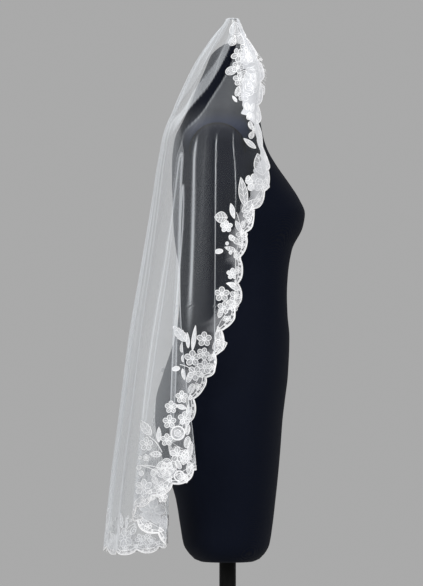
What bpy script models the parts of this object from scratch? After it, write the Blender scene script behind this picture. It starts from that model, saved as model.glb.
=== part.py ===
# A lace-edged bridal veil worn by a limbless dress form on a pole.
# Metres, +Z up. The origin is on the floor under the pole, the form faces -Y and its right side is -X.
# The veil is one tier of tulle gathered on a hair comb. It falls over the neck and shoulders of the form,
# open at the front, and a scalloped lace edging is sewn all round it.

import math
from collections import namedtuple

import bmesh
import bpy
import numpy as np
from mathutils import Matrix, Vector, geometry

COLLECTION = "veil on a dress form"

# Stand
BASE_RADIUS = 0.21
BASE_HEIGHT = 0.012
BASE_BEVEL = 0.002
POLE_RADIUS = 0.015
FORM_BOTTOM = 0.640
SEAT_GAP = 0.0003
ROUND_SIDES = 48

# Form: rings from the bottom up, with the depth of the body at its back and front and half its width
FORM_SIDES = 36
FormRing = namedtuple("FormRing", "height back front half_width")
FORM_RINGS = (
    FormRing(0.6400, 0.0500, -0.0480, 0.112),
    FormRing(0.6440, 0.0600, -0.0575, 0.124),
    FormRing(0.6530, 0.0690, -0.0665, 0.135),
    FormRing(0.6690, 0.0790, -0.0750, 0.144),
    FormRing(0.7050, 0.0855, -0.0810, 0.150),
    FormRing(0.7500, 0.0930, -0.0862, 0.156),
    FormRing(0.7900, 0.1050, -0.0905, 0.162),
    FormRing(0.8400, 0.1215, -0.0950, 0.169),
    FormRing(0.8940, 0.1305, -0.0990, 0.172),
    FormRing(0.9300, 0.1290, -0.1033, 0.171),
    FormRing(0.9750, 0.1163, -0.1087, 0.163),
    FormRing(1.0430, 0.0950, -0.1114, 0.143),
    FormRing(1.0830, 0.0880, -0.1080, 0.132),
    FormRing(1.1190, 0.0857, -0.1069, 0.126),
    FormRing(1.1550, 0.0860, -0.1087, 0.126),
    FormRing(1.2000, 0.0930, -0.1160, 0.133),
    FormRing(1.2410, 0.0974, -0.1355, 0.143),
    FormRing(1.2650, 0.0983, -0.1393, 0.149),
    FormRing(1.2900, 0.0992, -0.1294, 0.153),
    FormRing(1.3170, 0.1001, -0.1123, 0.157),
    FormRing(1.3530, 0.1001, -0.0871, 0.166),
    FormRing(1.3800, 0.0983, -0.0718, 0.176),
    FormRing(1.4010, 0.0947, -0.0646, 0.184),
    FormRing(1.4140, 0.0893, -0.0619, 0.181),
    FormRing(1.4240, 0.0840, -0.0600, 0.166),
    FormRing(1.4370, 0.0775, -0.0575, 0.132),
    FormRing(1.4500, 0.0720, -0.0550, 0.096),
    FormRing(1.4610, 0.0677, -0.0538, 0.074),
    FormRing(1.4880, 0.0569, -0.0511, 0.059),
    FormRing(1.5240, 0.0407, -0.0502, 0.054),
    FormRing(1.5510, 0.0290, -0.0412, 0.049),
    FormRing(1.5634, 0.0155, -0.0340, 0.042),
    FormRing(1.5695, 0.0060, -0.0250, 0.034),
    FormRing(1.5710, -0.0010, -0.0170, 0.028),
)
FORM_SQUARENESS = 0.06

# Comb: a flat hair comb that stands on the neck and holds the gather up
COMB_Y = -0.009
COMB_HALF_LENGTH = 0.026
COMB_TOP = 1.6134
COMB_SPINE = 0.006
COMB_THICKNESS = 0.0016
COMB_TEETH = 11
TOOTH_WIDTH = 0.0018
TEETH_SPAN = 0.046

# Veil: level sections from the comb down. The drop is measured along the cloth from the top of the gather,
# and the side is the place along Y where the section is widest.
VEIL_WALL = 0.001
VEIL_SQUARENESS = 0.06
SIDE_BLEND = 0.3
Section = namedtuple("Section", "drop height back side front half_width")
VEIL_SECTIONS = (
    Section(0.000, 1.6176, -0.0090, -0.0090, -0.0090, 0.000),
    Section(0.014, 1.6172, -0.0035, -0.0090, -0.0145, 0.015),
    Section(0.030, 1.6162, 0.0020, -0.0090, -0.0200, 0.030),
    Section(0.042, 1.6060, 0.0080, -0.0090, -0.0250, 0.038),
    Section(0.060, 1.5886, 0.0215, -0.0080, -0.0325, 0.045),
    Section(0.080, 1.5688, 0.0350, -0.0060, -0.0445, 0.056),
    Section(0.111, 1.5382, 0.0550, -0.0040, -0.0660, 0.069),
    Section(0.143, 1.5058, 0.0720, 0.0000, -0.0740, 0.084),
    Section(0.180, 1.4698, 0.0885, 0.0050, -0.0710, 0.108),
    Section(0.206, 1.4446, 0.0990, 0.0080, -0.0690, 0.139),
    Section(0.222, 1.4302, 0.1060, 0.0100, -0.0690, 0.166),
    Section(0.238, 1.4158, 0.1120, 0.0120, -0.0700, 0.187),
    Section(0.256, 1.4000, 0.1170, 0.0130, -0.0720, 0.196),
    Section(0.276, 1.3800, 0.1210, 0.0135, -0.0780, 0.199),
    Section(0.316, 1.3400, 0.1280, 0.0135, -0.0940, 0.202),
    Section(0.356, 1.3000, 0.1330, 0.0135, -0.1000, 0.204),
    Section(0.476, 1.1800, 0.1500, 0.0135, -0.1000, 0.208),
    Section(0.606, 1.0500, 0.1700, 0.0135, -0.1000, 0.212),
    Section(0.736, 0.9200, 0.1860, 0.0135, -0.1000, 0.217),
    Section(0.866, 0.7900, 0.2030, 0.0135, -0.1000, 0.223),
    Section(1.036, 0.6200, 0.2210, 0.0135, -0.1000, 0.231),
)

# Gathers fan out from the comb and die away below the shoulder
GATHER_COUNT = 14
GATHER_RISE = 0.003
GATHER_START, GATHER_FULL, GATHER_FADE, GATHER_END = 0.035, 0.080, 0.190, 0.300

# Folds hang from the shoulder. Angles are degrees round from the back, positive on the right side.
# A fold with a lap is a pleat: its front layer laps over the back one by about that much.
Fold = namedtuple("Fold", "angle width rise lap start full")
FOLDS = (
    Fold(-118.0, 0.016, 0.005, 0.000, 0.21, 0.40),
    Fold(-101.0, 0.017, 0.007, 0.000, 0.20, 0.34),
    Fold(-84.0, 0.018, 0.009, 0.000, 0.20, 0.60),
    Fold(-53.0, 0.040, 0.016, 0.064, 0.22, 0.98),
    Fold(-33.0, 0.019, 0.010, 0.000, 0.24, 0.80),
    Fold(-20.0, 0.018, 0.008, 0.000, 0.24, 0.80),
    Fold(-7.0, 0.018, 0.008, 0.000, 0.20, 0.70),
    Fold(7.0, 0.018, 0.008, 0.000, 0.20, 0.70),
    Fold(20.0, 0.018, 0.009, 0.000, 0.24, 0.80),
    Fold(33.0, 0.018, 0.011, 0.000, 0.24, 0.80),
    Fold(56.0, 0.040, 0.016, 0.070, 0.22, 0.98),
    Fold(71.0, 0.014, 0.008, 0.000, 0.20, 0.50),
    Fold(86.5, 0.017, 0.009, 0.000, 0.20, 0.50),
    Fold(102.0, 0.017, 0.007, 0.000, 0.20, 0.34),
    Fold(119.0, 0.016, 0.005, 0.000, 0.21, 0.40),
)
RIDGE_PINCH = 0.45
PLEAT_NARROWEST = 0.8
PLEAT_TURNS_TOP = 1.15
PLEAT_TURNS_LAP = 1.3
PLEAT_RISE_TOP = 0.5
PLEAT_ROUND = 4.0
PLEAT_REACH = 0.95
PLEAT_OPENS = 0.08

# Hem: the line of the notches between scallops, from the top of the front to the middle of the back
Hem = namedtuple("Hem", "drop angle")
RIGHT_HEM = (
    Hem(0.0350, 180.0),
    Hem(0.0362, 165.0),
    Hem(0.0415, 153.0),
    Hem(0.054, 147.5),
    Hem(0.080, 145.0),
    Hem(0.111, 142.5),
    Hem(0.143, 142.0),
    Hem(0.185, 142.5),
    Hem(0.223, 144.0),
    Hem(0.256, 145.5),
    Hem(0.285, 145.5),
    Hem(0.312, 140.5),
    Hem(0.340, 135.5),
    Hem(0.373, 127.0),
    Hem(0.405, 119.0),
    Hem(0.455, 111.0),
    Hem(0.520, 107.5),
    Hem(0.560, 102.5),
    Hem(0.600, 96.0),
    Hem(0.640, 89.5),
    Hem(0.680, 83.0),
    Hem(0.725, 78.0),
    Hem(0.780, 76.0),
    Hem(0.812, 76.0),
    Hem(0.840, 77.0),
    Hem(0.864, 76.5),
    Hem(0.884, 72.5),
    Hem(0.904, 65.0),
    Hem(0.930, 57.5),
    Hem(0.966, 50.5),
    Hem(0.983, 45.0),
    Hem(0.990, 38.0),
    Hem(0.991, 25.0),
    Hem(0.988, 12.0),
    Hem(0.986, 0.0),
)
LEFT_HEM_SHIFT = 0.006
HEM_SAMPLES = 2400
HEM_TURN = 0.15
HEM_EASE = 60

# Lace edging: a scalloped outer edge, a leafy inner edge and open gaps in a repeat
LACE_WALL = 0.0012
SEAM_GAP = 0.0011
SCALLOP_PITCH = 0.046
SCALLOP_DEPTH = 0.009
SCALLOP_STEPS = 5
SCALLOP_ROUND = 2.4
REPEAT_SCALLOPS = 3
BAND_WIDTH = 0.026
SPRAY_RISE = 0.022
LEAF_RISE = 0.003
LEAVES_A_SCALLOP = 2
TOP_BAND_WIDTH = 0.020
TOP_BAND_LENGTH = 0.08
EDGE_LACE_LENGTH = 0.92
SUPPORT_ROWS = (0.30, 0.66)
GAP_SIDES = 5
GAP_MARGIN = 0.003
Gap = namedtuple("Gap", "along inward length width turn")
REPEAT_GAPS = (
    Gap(0.012, 0.0070, 0.012, 0.0075, 20.0),
    Gap(0.035, 0.0065, 0.011, 0.0070, -25.0),
    Gap(0.024, 0.0190, 0.012, 0.0075, 70.0),
    Gap(0.059, 0.0075, 0.012, 0.0075, 10.0),
    Gap(0.083, 0.0070, 0.011, 0.0075, -20.0),
    Gap(0.071, 0.0260, 0.014, 0.0085, 55.0),
    Gap(0.106, 0.0075, 0.012, 0.0075, 25.0),
    Gap(0.128, 0.0070, 0.011, 0.0070, -10.0),
)
# Raised work: the cord on the scallops, the flowers between the gaps and a large rose beside the comb
CORD_RAISE = 0.0008
FLOWER_RAISE = 0.0012
ROSE_ALONG = 0.150
ROSE_INWARD = 0.018
ROSE_RADIUS = 0.024
ROSE_PETALS = 5
ROSE_DIP = 0.2
ROSE_RAISE = 0.0035
ROSE_EDGE = 0.003
ROSE_EASE = 0.050
ROSE_RINGS = ((0.0, 1), (0.45, 6), (0.85, 10))

# Spacing of the veil's own points
TOP_ROWS = (0.016, 0.032, 0.050, 0.072, 0.100, 0.130, 0.165, 0.200)
LOWER_ROWS = (0.226, 0.250, 0.285, 0.345, 0.425, 0.515, 0.605, 0.695, 0.785, 0.875, 0.940)
RIDGE_STEPS = (-2.0, -0.9, 0.0, 0.9, 2.0)
PLEAT_STEPS = (0.1, 0.22, 0.32, 0.40, 0.47, 0.54, 0.61, 0.69, 0.78, 0.90, 1.05, 1.25, 1.55, 2.0)
NEAREST_COLUMNS = 0.6
PLEAT_FINER = 3.0
GATHER_FINER = 2.0
PLEAT_WIDEST = 1.3
SEAM_CLEARANCE = 0.011
SHARP_ANGLE = 50.0


def column(table, name):
    return np.array([getattr(row, name) for row in table])


def smoothBetween(known, values, at):
    """Values at new places on a smooth curve through a table, which never overshoots its rows."""
    at = np.clip(at, known[0], known[-1])
    step = np.diff(known)
    slope = np.diff(values) / step
    tangent = np.zeros_like(values)
    same = slope[:-1] * slope[1:] > 0
    before, after = slope[:-1][same], slope[1:][same]
    tangent[1:-1][same] = 2 * before * after / (before + after)
    tangent[0], tangent[-1] = slope[0], slope[-1]
    row = np.clip(np.searchsorted(known, at, side="right") - 1, 0, len(step) - 1)
    u = (at - known[row]) / step[row]
    rise = (3 - 2 * u) * u * u
    bend = tangent[row] * (1 - u) - tangent[row + 1] * u
    return values[row] * (1 - rise) + values[row + 1] * rise + bend * step[row] * u * (1 - u)


def easeUp(value, low, high):
    u = np.clip((value - low) / (high - low), 0, 1)
    return u * u * (3 - 2 * u)


def veilValue(name, drop):
    return smoothBetween(column(VEIL_SECTIONS, "drop"), column(VEIL_SECTIONS, name), drop)


def ovalPoint(turn, side, back, front, half_width, height, squareness):
    """A point of a level oval, with the turn measured from its back towards the right side."""
    swell = 1 + squareness * np.sin(2 * turn) ** 2
    reach = side - front + (back + front - 2 * side) * easeUp(np.cos(turn), -SIDE_BLEND, SIDE_BLEND)
    x = -half_width * np.sin(turn) * swell
    y = side + reach * np.cos(turn) * swell
    return np.stack(np.broadcast_arrays(x, y, height), axis=-1)


def plainVeilPoint(drop, angle):
    """A point of the veil before it is gathered and folded."""
    values = (veilValue(name, drop) for name in ("side", "back", "front", "half_width", "height"))
    return ovalPoint(np.radians(angle), *values, VEIL_SQUARENESS)


def foldPlace(fold, drop, angle):
    """How many of its widths a place is from the middle of a fold, positive towards the front."""
    radius = np.maximum(veilValue("half_width", drop), COMB_HALF_LENGTH)
    return math.copysign(1, fold.angle) * np.radians(angle - fold.angle) * radius / foldWidth(fold, drop)


def foldWidth(fold, drop):
    grown = easeUp(drop, fold.start, fold.full)
    return fold.width * (PLEAT_NARROWEST + (1 - PLEAT_NARROWEST) * grown if fold.lap else 1)


def foldOffsets(drop, angle):
    """How far the folds move a point outwards, and how many degrees they turn it round."""
    radius = np.maximum(veilValue("half_width", drop), COMB_HALF_LENGTH)
    outward = np.zeros(np.broadcast(drop, angle).shape)
    around = np.zeros_like(outward)
    for fold in FOLDS:
        hand = math.copysign(1, fold.angle)
        grown = easeUp(drop, fold.start, fold.full)
        width = foldWidth(fold, drop)
        u = foldPlace(fold, drop, angle)
        if fold.lap:
            opened = easeUp(drop, fold.start, fold.start + PLEAT_OPENS)
            turns = PLEAT_TURNS_TOP + PLEAT_TURNS_LAP * fold.lap / fold.width * grown
            around = around - hand * opened * turns * width * u * np.exp(-u * u)
            stack = fold.rise * (PLEAT_RISE_TOP + (1 - PLEAT_RISE_TOP) * grown)
            spread = (u + PLEAT_ROUND * u**3) * np.exp(-((u / PLEAT_REACH) ** 2))
            outward = outward + opened * stack * spread
        else:
            ridge = grown * np.exp(-u * u)
            outward = outward + fold.rise * ridge
            around = around - hand * RIDGE_PINCH * width * u * ridge
    gather = easeUp(drop, GATHER_START, GATHER_FULL) * (1 - easeUp(drop, GATHER_FADE, GATHER_END))
    outward = outward + GATHER_RISE * gather * np.cos(np.radians(angle) * GATHER_COUNT)
    return outward, np.degrees(around / radius)


def veilPoint(drop, angle):
    """A point of the folded veil, on its inner face."""
    small = 0.25
    outward, around = foldOffsets(drop, angle)
    moved = angle + around
    tangent = plainVeilPoint(drop, moved + small) - plainVeilPoint(drop, moved - small)
    length = np.maximum(np.hypot(tangent[..., 0], tangent[..., 1]), 1e-9)
    point = plainVeilPoint(drop, moved)
    point[..., 0] += outward * tangent[..., 1] / length
    point[..., 1] -= outward * tangent[..., 0] / length
    return point


def layOut(drop, angle):
    """The place of a drop and an angle on the cloth laid out flat round the top of the gather."""
    return drop * np.sin(np.radians(angle)), drop * np.cos(np.radians(angle))


def laidOutPoint(x, y):
    return veilPoint(np.hypot(x, y), np.degrees(np.arctan2(x, y)))


def plainLaidOutPoint(x, y):
    return plainVeilPoint(np.hypot(x, y), np.degrees(np.arctan2(x, y)))


def veilNormal(drop, angle):
    """The way out of the folded veil, square to the cloth."""
    x, y = layOut(drop, angle)
    small = 0.0004
    by_x = laidOutPoint(x + small, y) - laidOutPoint(x - small, y)
    by_y = laidOutPoint(x, y + small) - laidOutPoint(x, y - small)
    normal = np.cross(by_x, by_y)
    return normal / np.linalg.norm(normal, axis=-1, keepdims=True)


def evened(values, turn=0.0):
    """Values round the closed hem, which end one turn lower, with their corners eased."""
    window = 2 * HEM_EASE + 1
    for _ in range(2):
        padded = np.concatenate([values[-HEM_EASE:] + turn, values, values[:HEM_EASE] - turn])
        values = np.convolve(padded, np.full(window, 1 / window), mode="valid")
    return values


def hemLine():
    """The hem on the laid out cloth, from the top of the front by the right side and the back."""
    drop, angle = column(RIGHT_HEM, "drop"), column(RIGHT_HEM, "angle")
    steps = np.hypot(np.diff(drop), np.diff(np.radians(angle)) * HEM_TURN)
    place = np.concatenate([[0], np.cumsum(steps)])
    fine = np.linspace(0, place[-1], HEM_SAMPLES)
    drop, angle = smoothBetween(place, drop, fine), smoothBetween(place, angle, fine)
    longer = LEFT_HEM_SHIFT * easeUp(drop, 0.3, 0.6) * easeUp(angle, 0, 30)
    drop = evened(np.append(drop, (drop + longer)[-2:0:-1]))
    angle = evened(np.append(angle, -angle[-2:0:-1]), 2 * RIGHT_HEM[0].angle)
    x, y = layOut(drop, angle)
    return np.append(x, x[0]), np.append(y, y[0])


class Strip:
    """The border of the veil laid flat: a length along the hem and a distance inwards from it."""

    def __init__(self):
        self.x, self.y = hemLine()
        points = laidOutPoint(self.x, self.y)
        steps = np.linalg.norm(np.diff(points, axis=0), axis=1)
        self.along = np.concatenate([[0], np.cumsum(steps)])
        self.length = self.along[-1]
        self.x_in, self.y_in = self.wayIn()

    def wayIn(self):
        """The way inwards on the laid out cloth for each metre, square to the hem on the plain veil."""
        small = 0.0005
        by_x = plainLaidOutPoint(self.x + small, self.y) - plainLaidOutPoint(self.x - small, self.y)
        by_y = plainLaidOutPoint(self.x, self.y + small) - plainLaidOutPoint(self.x, self.y - small)
        by_x, by_y = by_x / (2 * small), by_y / (2 * small)
        way = np.gradient(self.x)[:, None] * by_x + np.gradient(self.y)[:, None] * by_y
        across = np.cross(np.cross(by_x, by_y), way)
        across /= np.linalg.norm(across, axis=1, keepdims=True)
        a, b, c = (by_x**2).sum(1), (by_x * by_y).sum(1), (by_y**2).sum(1)
        p, q = (across * by_x).sum(1), (across * by_y).sum(1)
        share = a * c - b * b
        x_in, y_in = evened(((c * p - b * q) / share)[:-1]), evened(((a * q - b * p) / share)[:-1])
        return np.append(x_in, x_in[0]), np.append(y_in, y_in[0])

    def laidOut(self, along, inward):
        """A place on the border as a place on the cloth laid out round the top of the gather."""
        x = np.interp(along, self.along, self.x) + inward * np.interp(along, self.along, self.x_in)
        y = np.interp(along, self.along, self.y) + inward * np.interp(along, self.along, self.y_in)
        return x, y


def scallopEdge(along):
    """The outer edge of the lace: rounded scallops that reach out from the hem line."""
    place = (along / SCALLOP_PITCH) % 1
    return -SCALLOP_DEPTH * (1 - np.abs(2 * place - 1) ** SCALLOP_ROUND)


def leafyEdge(along, length):
    """The inner edge of the lace: sprays of leaves that climb into the tulle, narrower beside the comb."""
    from_comb = np.minimum(along, length - along)
    spray = np.sin(math.pi * along / (REPEAT_SCALLOPS * SCALLOP_PITCH)) ** 4
    leaves = LEAF_RISE * np.cos(2 * math.pi * LEAVES_A_SCALLOP * along / SCALLOP_PITCH)
    grown = easeUp(from_comb, TOP_BAND_LENGTH / 2, TOP_BAND_LENGTH)
    width = TOP_BAND_WIDTH + grown * (BAND_WIDTH - TOP_BAND_WIDTH + leaves + SPRAY_RISE * spray)
    beside = ROSE_RADIUS / 2
    rose = 1 - easeUp(np.abs(from_comb - ROSE_ALONG), beside, beside + ROSE_EASE)
    return width + rose * np.maximum(ROSE_INWARD + ROSE_RADIUS + ROSE_EDGE - width, 0)


def rosePlaces(length):
    return ((ROSE_ALONG, ROSE_INWARD), (length - ROSE_ALONG, ROSE_INWARD))


def gapOutlines(start, end, length):
    """The open gaps of the lace between two places, each a small polygon in the flat strip."""
    repeat = REPEAT_SCALLOPS * SCALLOP_PITCH
    outlines = []
    for number in range(int(length / repeat) + 1):
        for gap in REPEAT_GAPS:
            centre = Vector((number * repeat + gap.along, gap.inward))
            spare = gap.length / 2 + GAP_MARGIN
            if not start + spare < centre.x < end - spare:
                continue
            if centre.y + spare > leafyEdge(np.array([centre.x]), length)[0]:
                continue
            if any((centre - Vector(rose)).length < ROSE_RADIUS + spare for rose in rosePlaces(length)):
                continue
            corners = []
            for side in range(GAP_SIDES):
                around = 2 * math.pi * side / GAP_SIDES
                corner = Vector((math.cos(around) * gap.length / 2, math.sin(around) * gap.width / 2))
                corner.rotate(Matrix.Rotation(math.radians(gap.turn), 2))
                corners.append(centre + corner)
            outlines.append(corners)
    return outlines


def supportPoints(places, length, outlines):
    """Points inside the lace, clear of its gaps and edges: the tops of its flowers and of the rose."""
    centres = [sum(outline, Vector((0, 0))) / len(outline) for outline in outlines]
    roses = [Vector(rose) for rose in rosePlaces(length)]
    reach = max(gap.length for gap in REPEAT_GAPS) / 2 + GAP_MARGIN
    candidates = []
    for rose in roses:
        for share, count in ROSE_RINGS:
            for number in range(count):
                around = 2 * math.pi * (number + share) / count
                way = Vector((math.cos(around), math.sin(around)))
                candidates.append((rose + share * ROSE_RADIUS * way, True))
    for along in (places[1:-2:2] + places[2:-1:2]) / 2:
        outer, inner = scallopEdge(along), leafyEdge(np.array([along]), length)[0]
        for share in SUPPORT_ROWS:
            candidates.append((Vector((along, outer + share * (inner - outer))), False))
    kept = []
    for point, of_rose in candidates:
        if not places[0] + GAP_MARGIN < point.x < places[-1] - GAP_MARGIN:
            continue
        beside_rose = any((point - rose).length < ROSE_RADIUS + GAP_MARGIN for rose in roses)
        beside_gap = any((point - centre).length < reach for centre in centres)
        if of_rose or not (beside_rose or beside_gap):
            kept.append(point)
    return kept


def cut(outline, holes, inside):
    """Triangles of a flat outline with holes, through the points inside it."""
    points = list(outline)
    edges = [(i, (i + 1) % len(outline)) for i in range(len(outline))]
    for hole in holes:
        first = len(points)
        points += hole
        edges += [(first + i, first + (i + 1) % len(hole)) for i in range(len(hole))]
    points += inside
    cut_points, _, faces, _, _, _ = geometry.delaunay_2d_cdt(points, edges, [], 2, 1e-7)
    return np.array([tuple(point) for point in cut_points]), [tuple(face) for face in faces]


def clothObject(name, flat, faces, thickness, material):
    """A wall through the veil's own points: a face outside and inside for each flat one, and a rim."""
    drop, angle = np.hypot(flat[:, 0], flat[:, 1]), np.degrees(np.arctan2(flat[:, 0], flat[:, 1]))
    inner = veilPoint(drop, angle)
    outer = inner + veilNormal(drop, angle) * thickness[:, None]
    body = bmesh.new()
    inside = [body.verts.new(point) for point in inner]
    outside = [body.verts.new(point) for point in outer]
    for face in faces:
        body.faces.new([outside[i] for i in face])
        body.faces.new([inside[i] for i in reversed(face)])
    twin = dict(zip(outside, inside))
    for edge in [edge for edge in body.edges if edge.is_boundary and edge.verts[0] in twin]:
        first, second = edge.verts
        body.faces.new([first, second, twin[second], twin[first]])
    bmesh.ops.recalc_face_normals(body, faces=body.faces)
    mesh = bpy.data.meshes.new(name)
    body.to_mesh(mesh)
    body.free()
    mesh.shade_smooth()
    mesh.set_sharp_from_angle(angle=math.radians(SHARP_ANGLE))
    mesh.materials.append(material)
    return addObject(name, mesh)


def edgePlaces(strip, start, end):
    """Places along an edge of the lace, closer together where it is gathered or pleated."""
    fine = np.linspace(start + SEAM_GAP / 2, end - SEAM_GAP / 2, HEM_SAMPLES)
    x, y = strip.laidOut(fine, BAND_WIDTH / 2)
    drop, angle = np.hypot(x, y), np.degrees(np.arctan2(x, y))
    finer = np.where(drop < GATHER_FADE, GATHER_FINER, 1)
    for fold in FOLDS:
        if fold.lap:
            reach = np.abs(foldPlace(fold, drop, angle))
            finer = np.where((reach < PLEAT_WIDEST) & (drop > fold.start), PLEAT_FINER, finer)
    count = np.cumsum(finer)
    count = (count - count[0]) * (fine[1] - fine[0]) * SCALLOP_STEPS / SCALLOP_PITCH
    return np.interp(np.linspace(0, count[-1], round(count[-1]) + 1), count, fine)


def laceEdging(name, strip, start, end, material):
    along = edgePlaces(strip, start, end)
    outer = [Vector(pair) for pair in zip(along, scallopEdge(along))]
    inner = [Vector(pair) for pair in zip(along, leafyEdge(along, strip.length))]
    gaps = gapOutlines(start, end, strip.length)
    flat, faces = cut(outer + inner[::-1], gaps, supportPoints(along, strip.length, gaps))
    thickness = LACE_WALL + laceRelief(flat, strip.length)
    laid_out = np.column_stack(strip.laidOut(flat[:, 0], flat[:, 1]))
    clothObject(name, laid_out, faces, thickness, material)
    return along


def laceRelief(flat, length):
    """How far the raised work stands above the lace at each point of the strip."""
    outer, inner = scallopEdge(flat[:, 0]), leafyEdge(flat[:, 0], length)
    share = np.clip((flat[:, 1] - outer) / (inner - outer), 0, 1)
    relief = FLOWER_RAISE * np.sin(math.pi * share) + CORD_RAISE * (share < SUPPORT_ROWS[0] / 2)
    for rose in rosePlaces(length):
        way = flat - np.array(rose)
        reach = np.hypot(way[:, 0], way[:, 1]) / ROSE_RADIUS
        petals = 1 - ROSE_DIP + ROSE_DIP * np.cos(ROSE_PETALS * np.arctan2(way[:, 1], way[:, 0]))
        relief = np.maximum(relief, ROSE_RAISE * np.clip(1 - reach**2, 0, 1) * petals)
    return relief


def foldColumns(drop):
    """Angles of the columns of points that the folds need at a place below the shoulder."""
    angles = [180.0]
    for fold in FOLDS:
        steps = PLEAT_STEPS + tuple(-step for step in PLEAT_STEPS) if fold.lap else RIDGE_STEPS
        unit = math.degrees(foldWidth(fold, drop) / veilValue("half_width", drop))
        angles += [fold.angle + step * unit for step in steps]
    kept = []
    for angle in sorted(angles):
        if not kept or angle - kept[-1] > NEAREST_COLUMNS:
            kept.append(angle)
    return kept


def tullePanel(strip, seams, material):
    """The tulle inside the lace: laid out flat round the top of the gather, cut along the seam and draped."""
    along = np.concatenate(seams)
    inward = leafyEdge(along, strip.length) + SEAM_GAP
    seam_x, seam_y = strip.laidOut(along, inward)
    seam_drop, seam_angle = np.hypot(seam_x, seam_y), np.degrees(np.arctan2(seam_x, seam_y))
    outline = [Vector(pair) for pair in zip(seam_x, seam_y)]
    half_gather = 180 / GATHER_COUNT / 2
    gathers = [(number + 0.5) * half_gather for number in range(-2 * GATHER_COUNT, 2 * GATHER_COUNT)]
    places = [(row, angle) for row in TOP_ROWS for angle in gathers]
    places += [(row, angle) for row in LOWER_ROWS for angle in foldColumns(row)]
    inside = [Vector((0, 0))]
    border = veilPoint(seam_drop, seam_angle)
    right = slice(len(along) // 2 - 1, None, -1)
    for drop, angle in places:
        if drop > np.interp(abs(angle), seam_angle[right], seam_drop[right]):
            continue
        place = veilPoint(np.array(drop), np.array(angle))
        if np.linalg.norm(border - place, axis=1).min() > SEAM_CLEARANCE:
            inside.append(Vector(layOut(drop, angle)))
    flat, faces = cut(outline, [], inside)
    clothObject("tulle_panel", flat, faces, np.full(len(flat), VEIL_WALL), material)


def addObject(name, mesh):
    piece = bpy.data.objects.new(name, mesh)
    bpy.data.collections[COLLECTION].objects.link(piece)
    return piece


def addMaterial(name, color, roughness, metallic=0.0):
    material = bpy.data.materials.new(name)
    material.use_nodes = True
    shader = material.node_tree.nodes["Principled BSDF"]
    shader.inputs["Base Color"].default_value = (*color, 1)
    shader.inputs["Roughness"].default_value = roughness
    shader.inputs["Metallic"].default_value = metallic
    return material


def dressForm(material):
    """A closed loft through the level rings, capped flat at the neck and under the hips."""
    turns = np.linspace(0, 2 * math.pi, FORM_SIDES, endpoint=False)
    body = bmesh.new()
    rings = []
    for height, back, front, half_width in FORM_RINGS:
        points = ovalPoint(turns, (back + front) / 2, back, front, half_width, height, FORM_SQUARENESS)
        rings.append([body.verts.new(point) for point in points])
    for lower, upper in zip(rings, rings[1:]):
        bmesh.ops.bridge_loops(body, edges=ringEdges(body, lower) + ringEdges(body, upper))
    body.faces.new(rings[0])
    body.faces.new(rings[-1])
    bmesh.ops.recalc_face_normals(body, faces=body.faces)
    mesh = bpy.data.meshes.new("dress_form")
    body.to_mesh(mesh)
    body.free()
    mesh.shade_smooth()
    mesh.materials.append(material)
    return addObject("dress_form", mesh)


def ringEdges(body, ring):
    pairs = zip(ring, ring[1:] + ring[:1])
    return [body.edges.get(pair) or body.edges.new(pair) for pair in pairs]


def roundPiece(name, radius, bottom, top, bevel, material):
    body = bmesh.new()
    bmesh.ops.create_cone(
        body, cap_ends=True, segments=ROUND_SIDES, radius1=radius, radius2=radius, depth=top - bottom
    )
    mesh = bpy.data.meshes.new(name)
    body.to_mesh(mesh)
    body.free()
    mesh.materials.append(material)
    piece = addObject(name, mesh)
    piece.location.z = (bottom + top) / 2
    if bevel:
        edge = piece.modifiers.new("Edge", "BEVEL")
        edge.width = bevel
        edge.segments = 2
        edge.limit_method = "ANGLE"
    return piece


def combPiece(material):
    """A flat comb: its outline goes along the spine and down and up each tooth."""
    foot = FORM_RINGS[-1][0] + SEAT_GAP
    gum = COMB_TOP - COMB_SPINE
    corners = [(-COMB_HALF_LENGTH, COMB_TOP), (-COMB_HALF_LENGTH, gum)]
    for number in range(COMB_TEETH):
        middle = -TEETH_SPAN / 2 + TEETH_SPAN * number / (COMB_TEETH - 1)
        left, right = middle - TOOTH_WIDTH / 2, middle + TOOTH_WIDTH / 2
        corners += [(left, gum), (left, foot), (right, foot), (right, gum)]
    corners += [(COMB_HALF_LENGTH, gum), (COMB_HALF_LENGTH, COMB_TOP)]
    curve = bpy.data.curves.new("comb", "CURVE")
    curve.dimensions = "2D"
    curve.fill_mode = "BOTH"
    curve.extrude = COMB_THICKNESS / 2
    outline = curve.splines.new("POLY")
    outline.points.add(len(corners) - 1)
    for point, (x, z) in zip(outline.points, corners):
        point.co = (x, z, 0, 1)
    outline.use_cyclic_u = True
    curve.materials.append(material)
    piece = addObject("comb", curve)
    piece.location.y = COMB_Y
    piece.rotation_euler.x = math.pi / 2
    return piece


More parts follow.
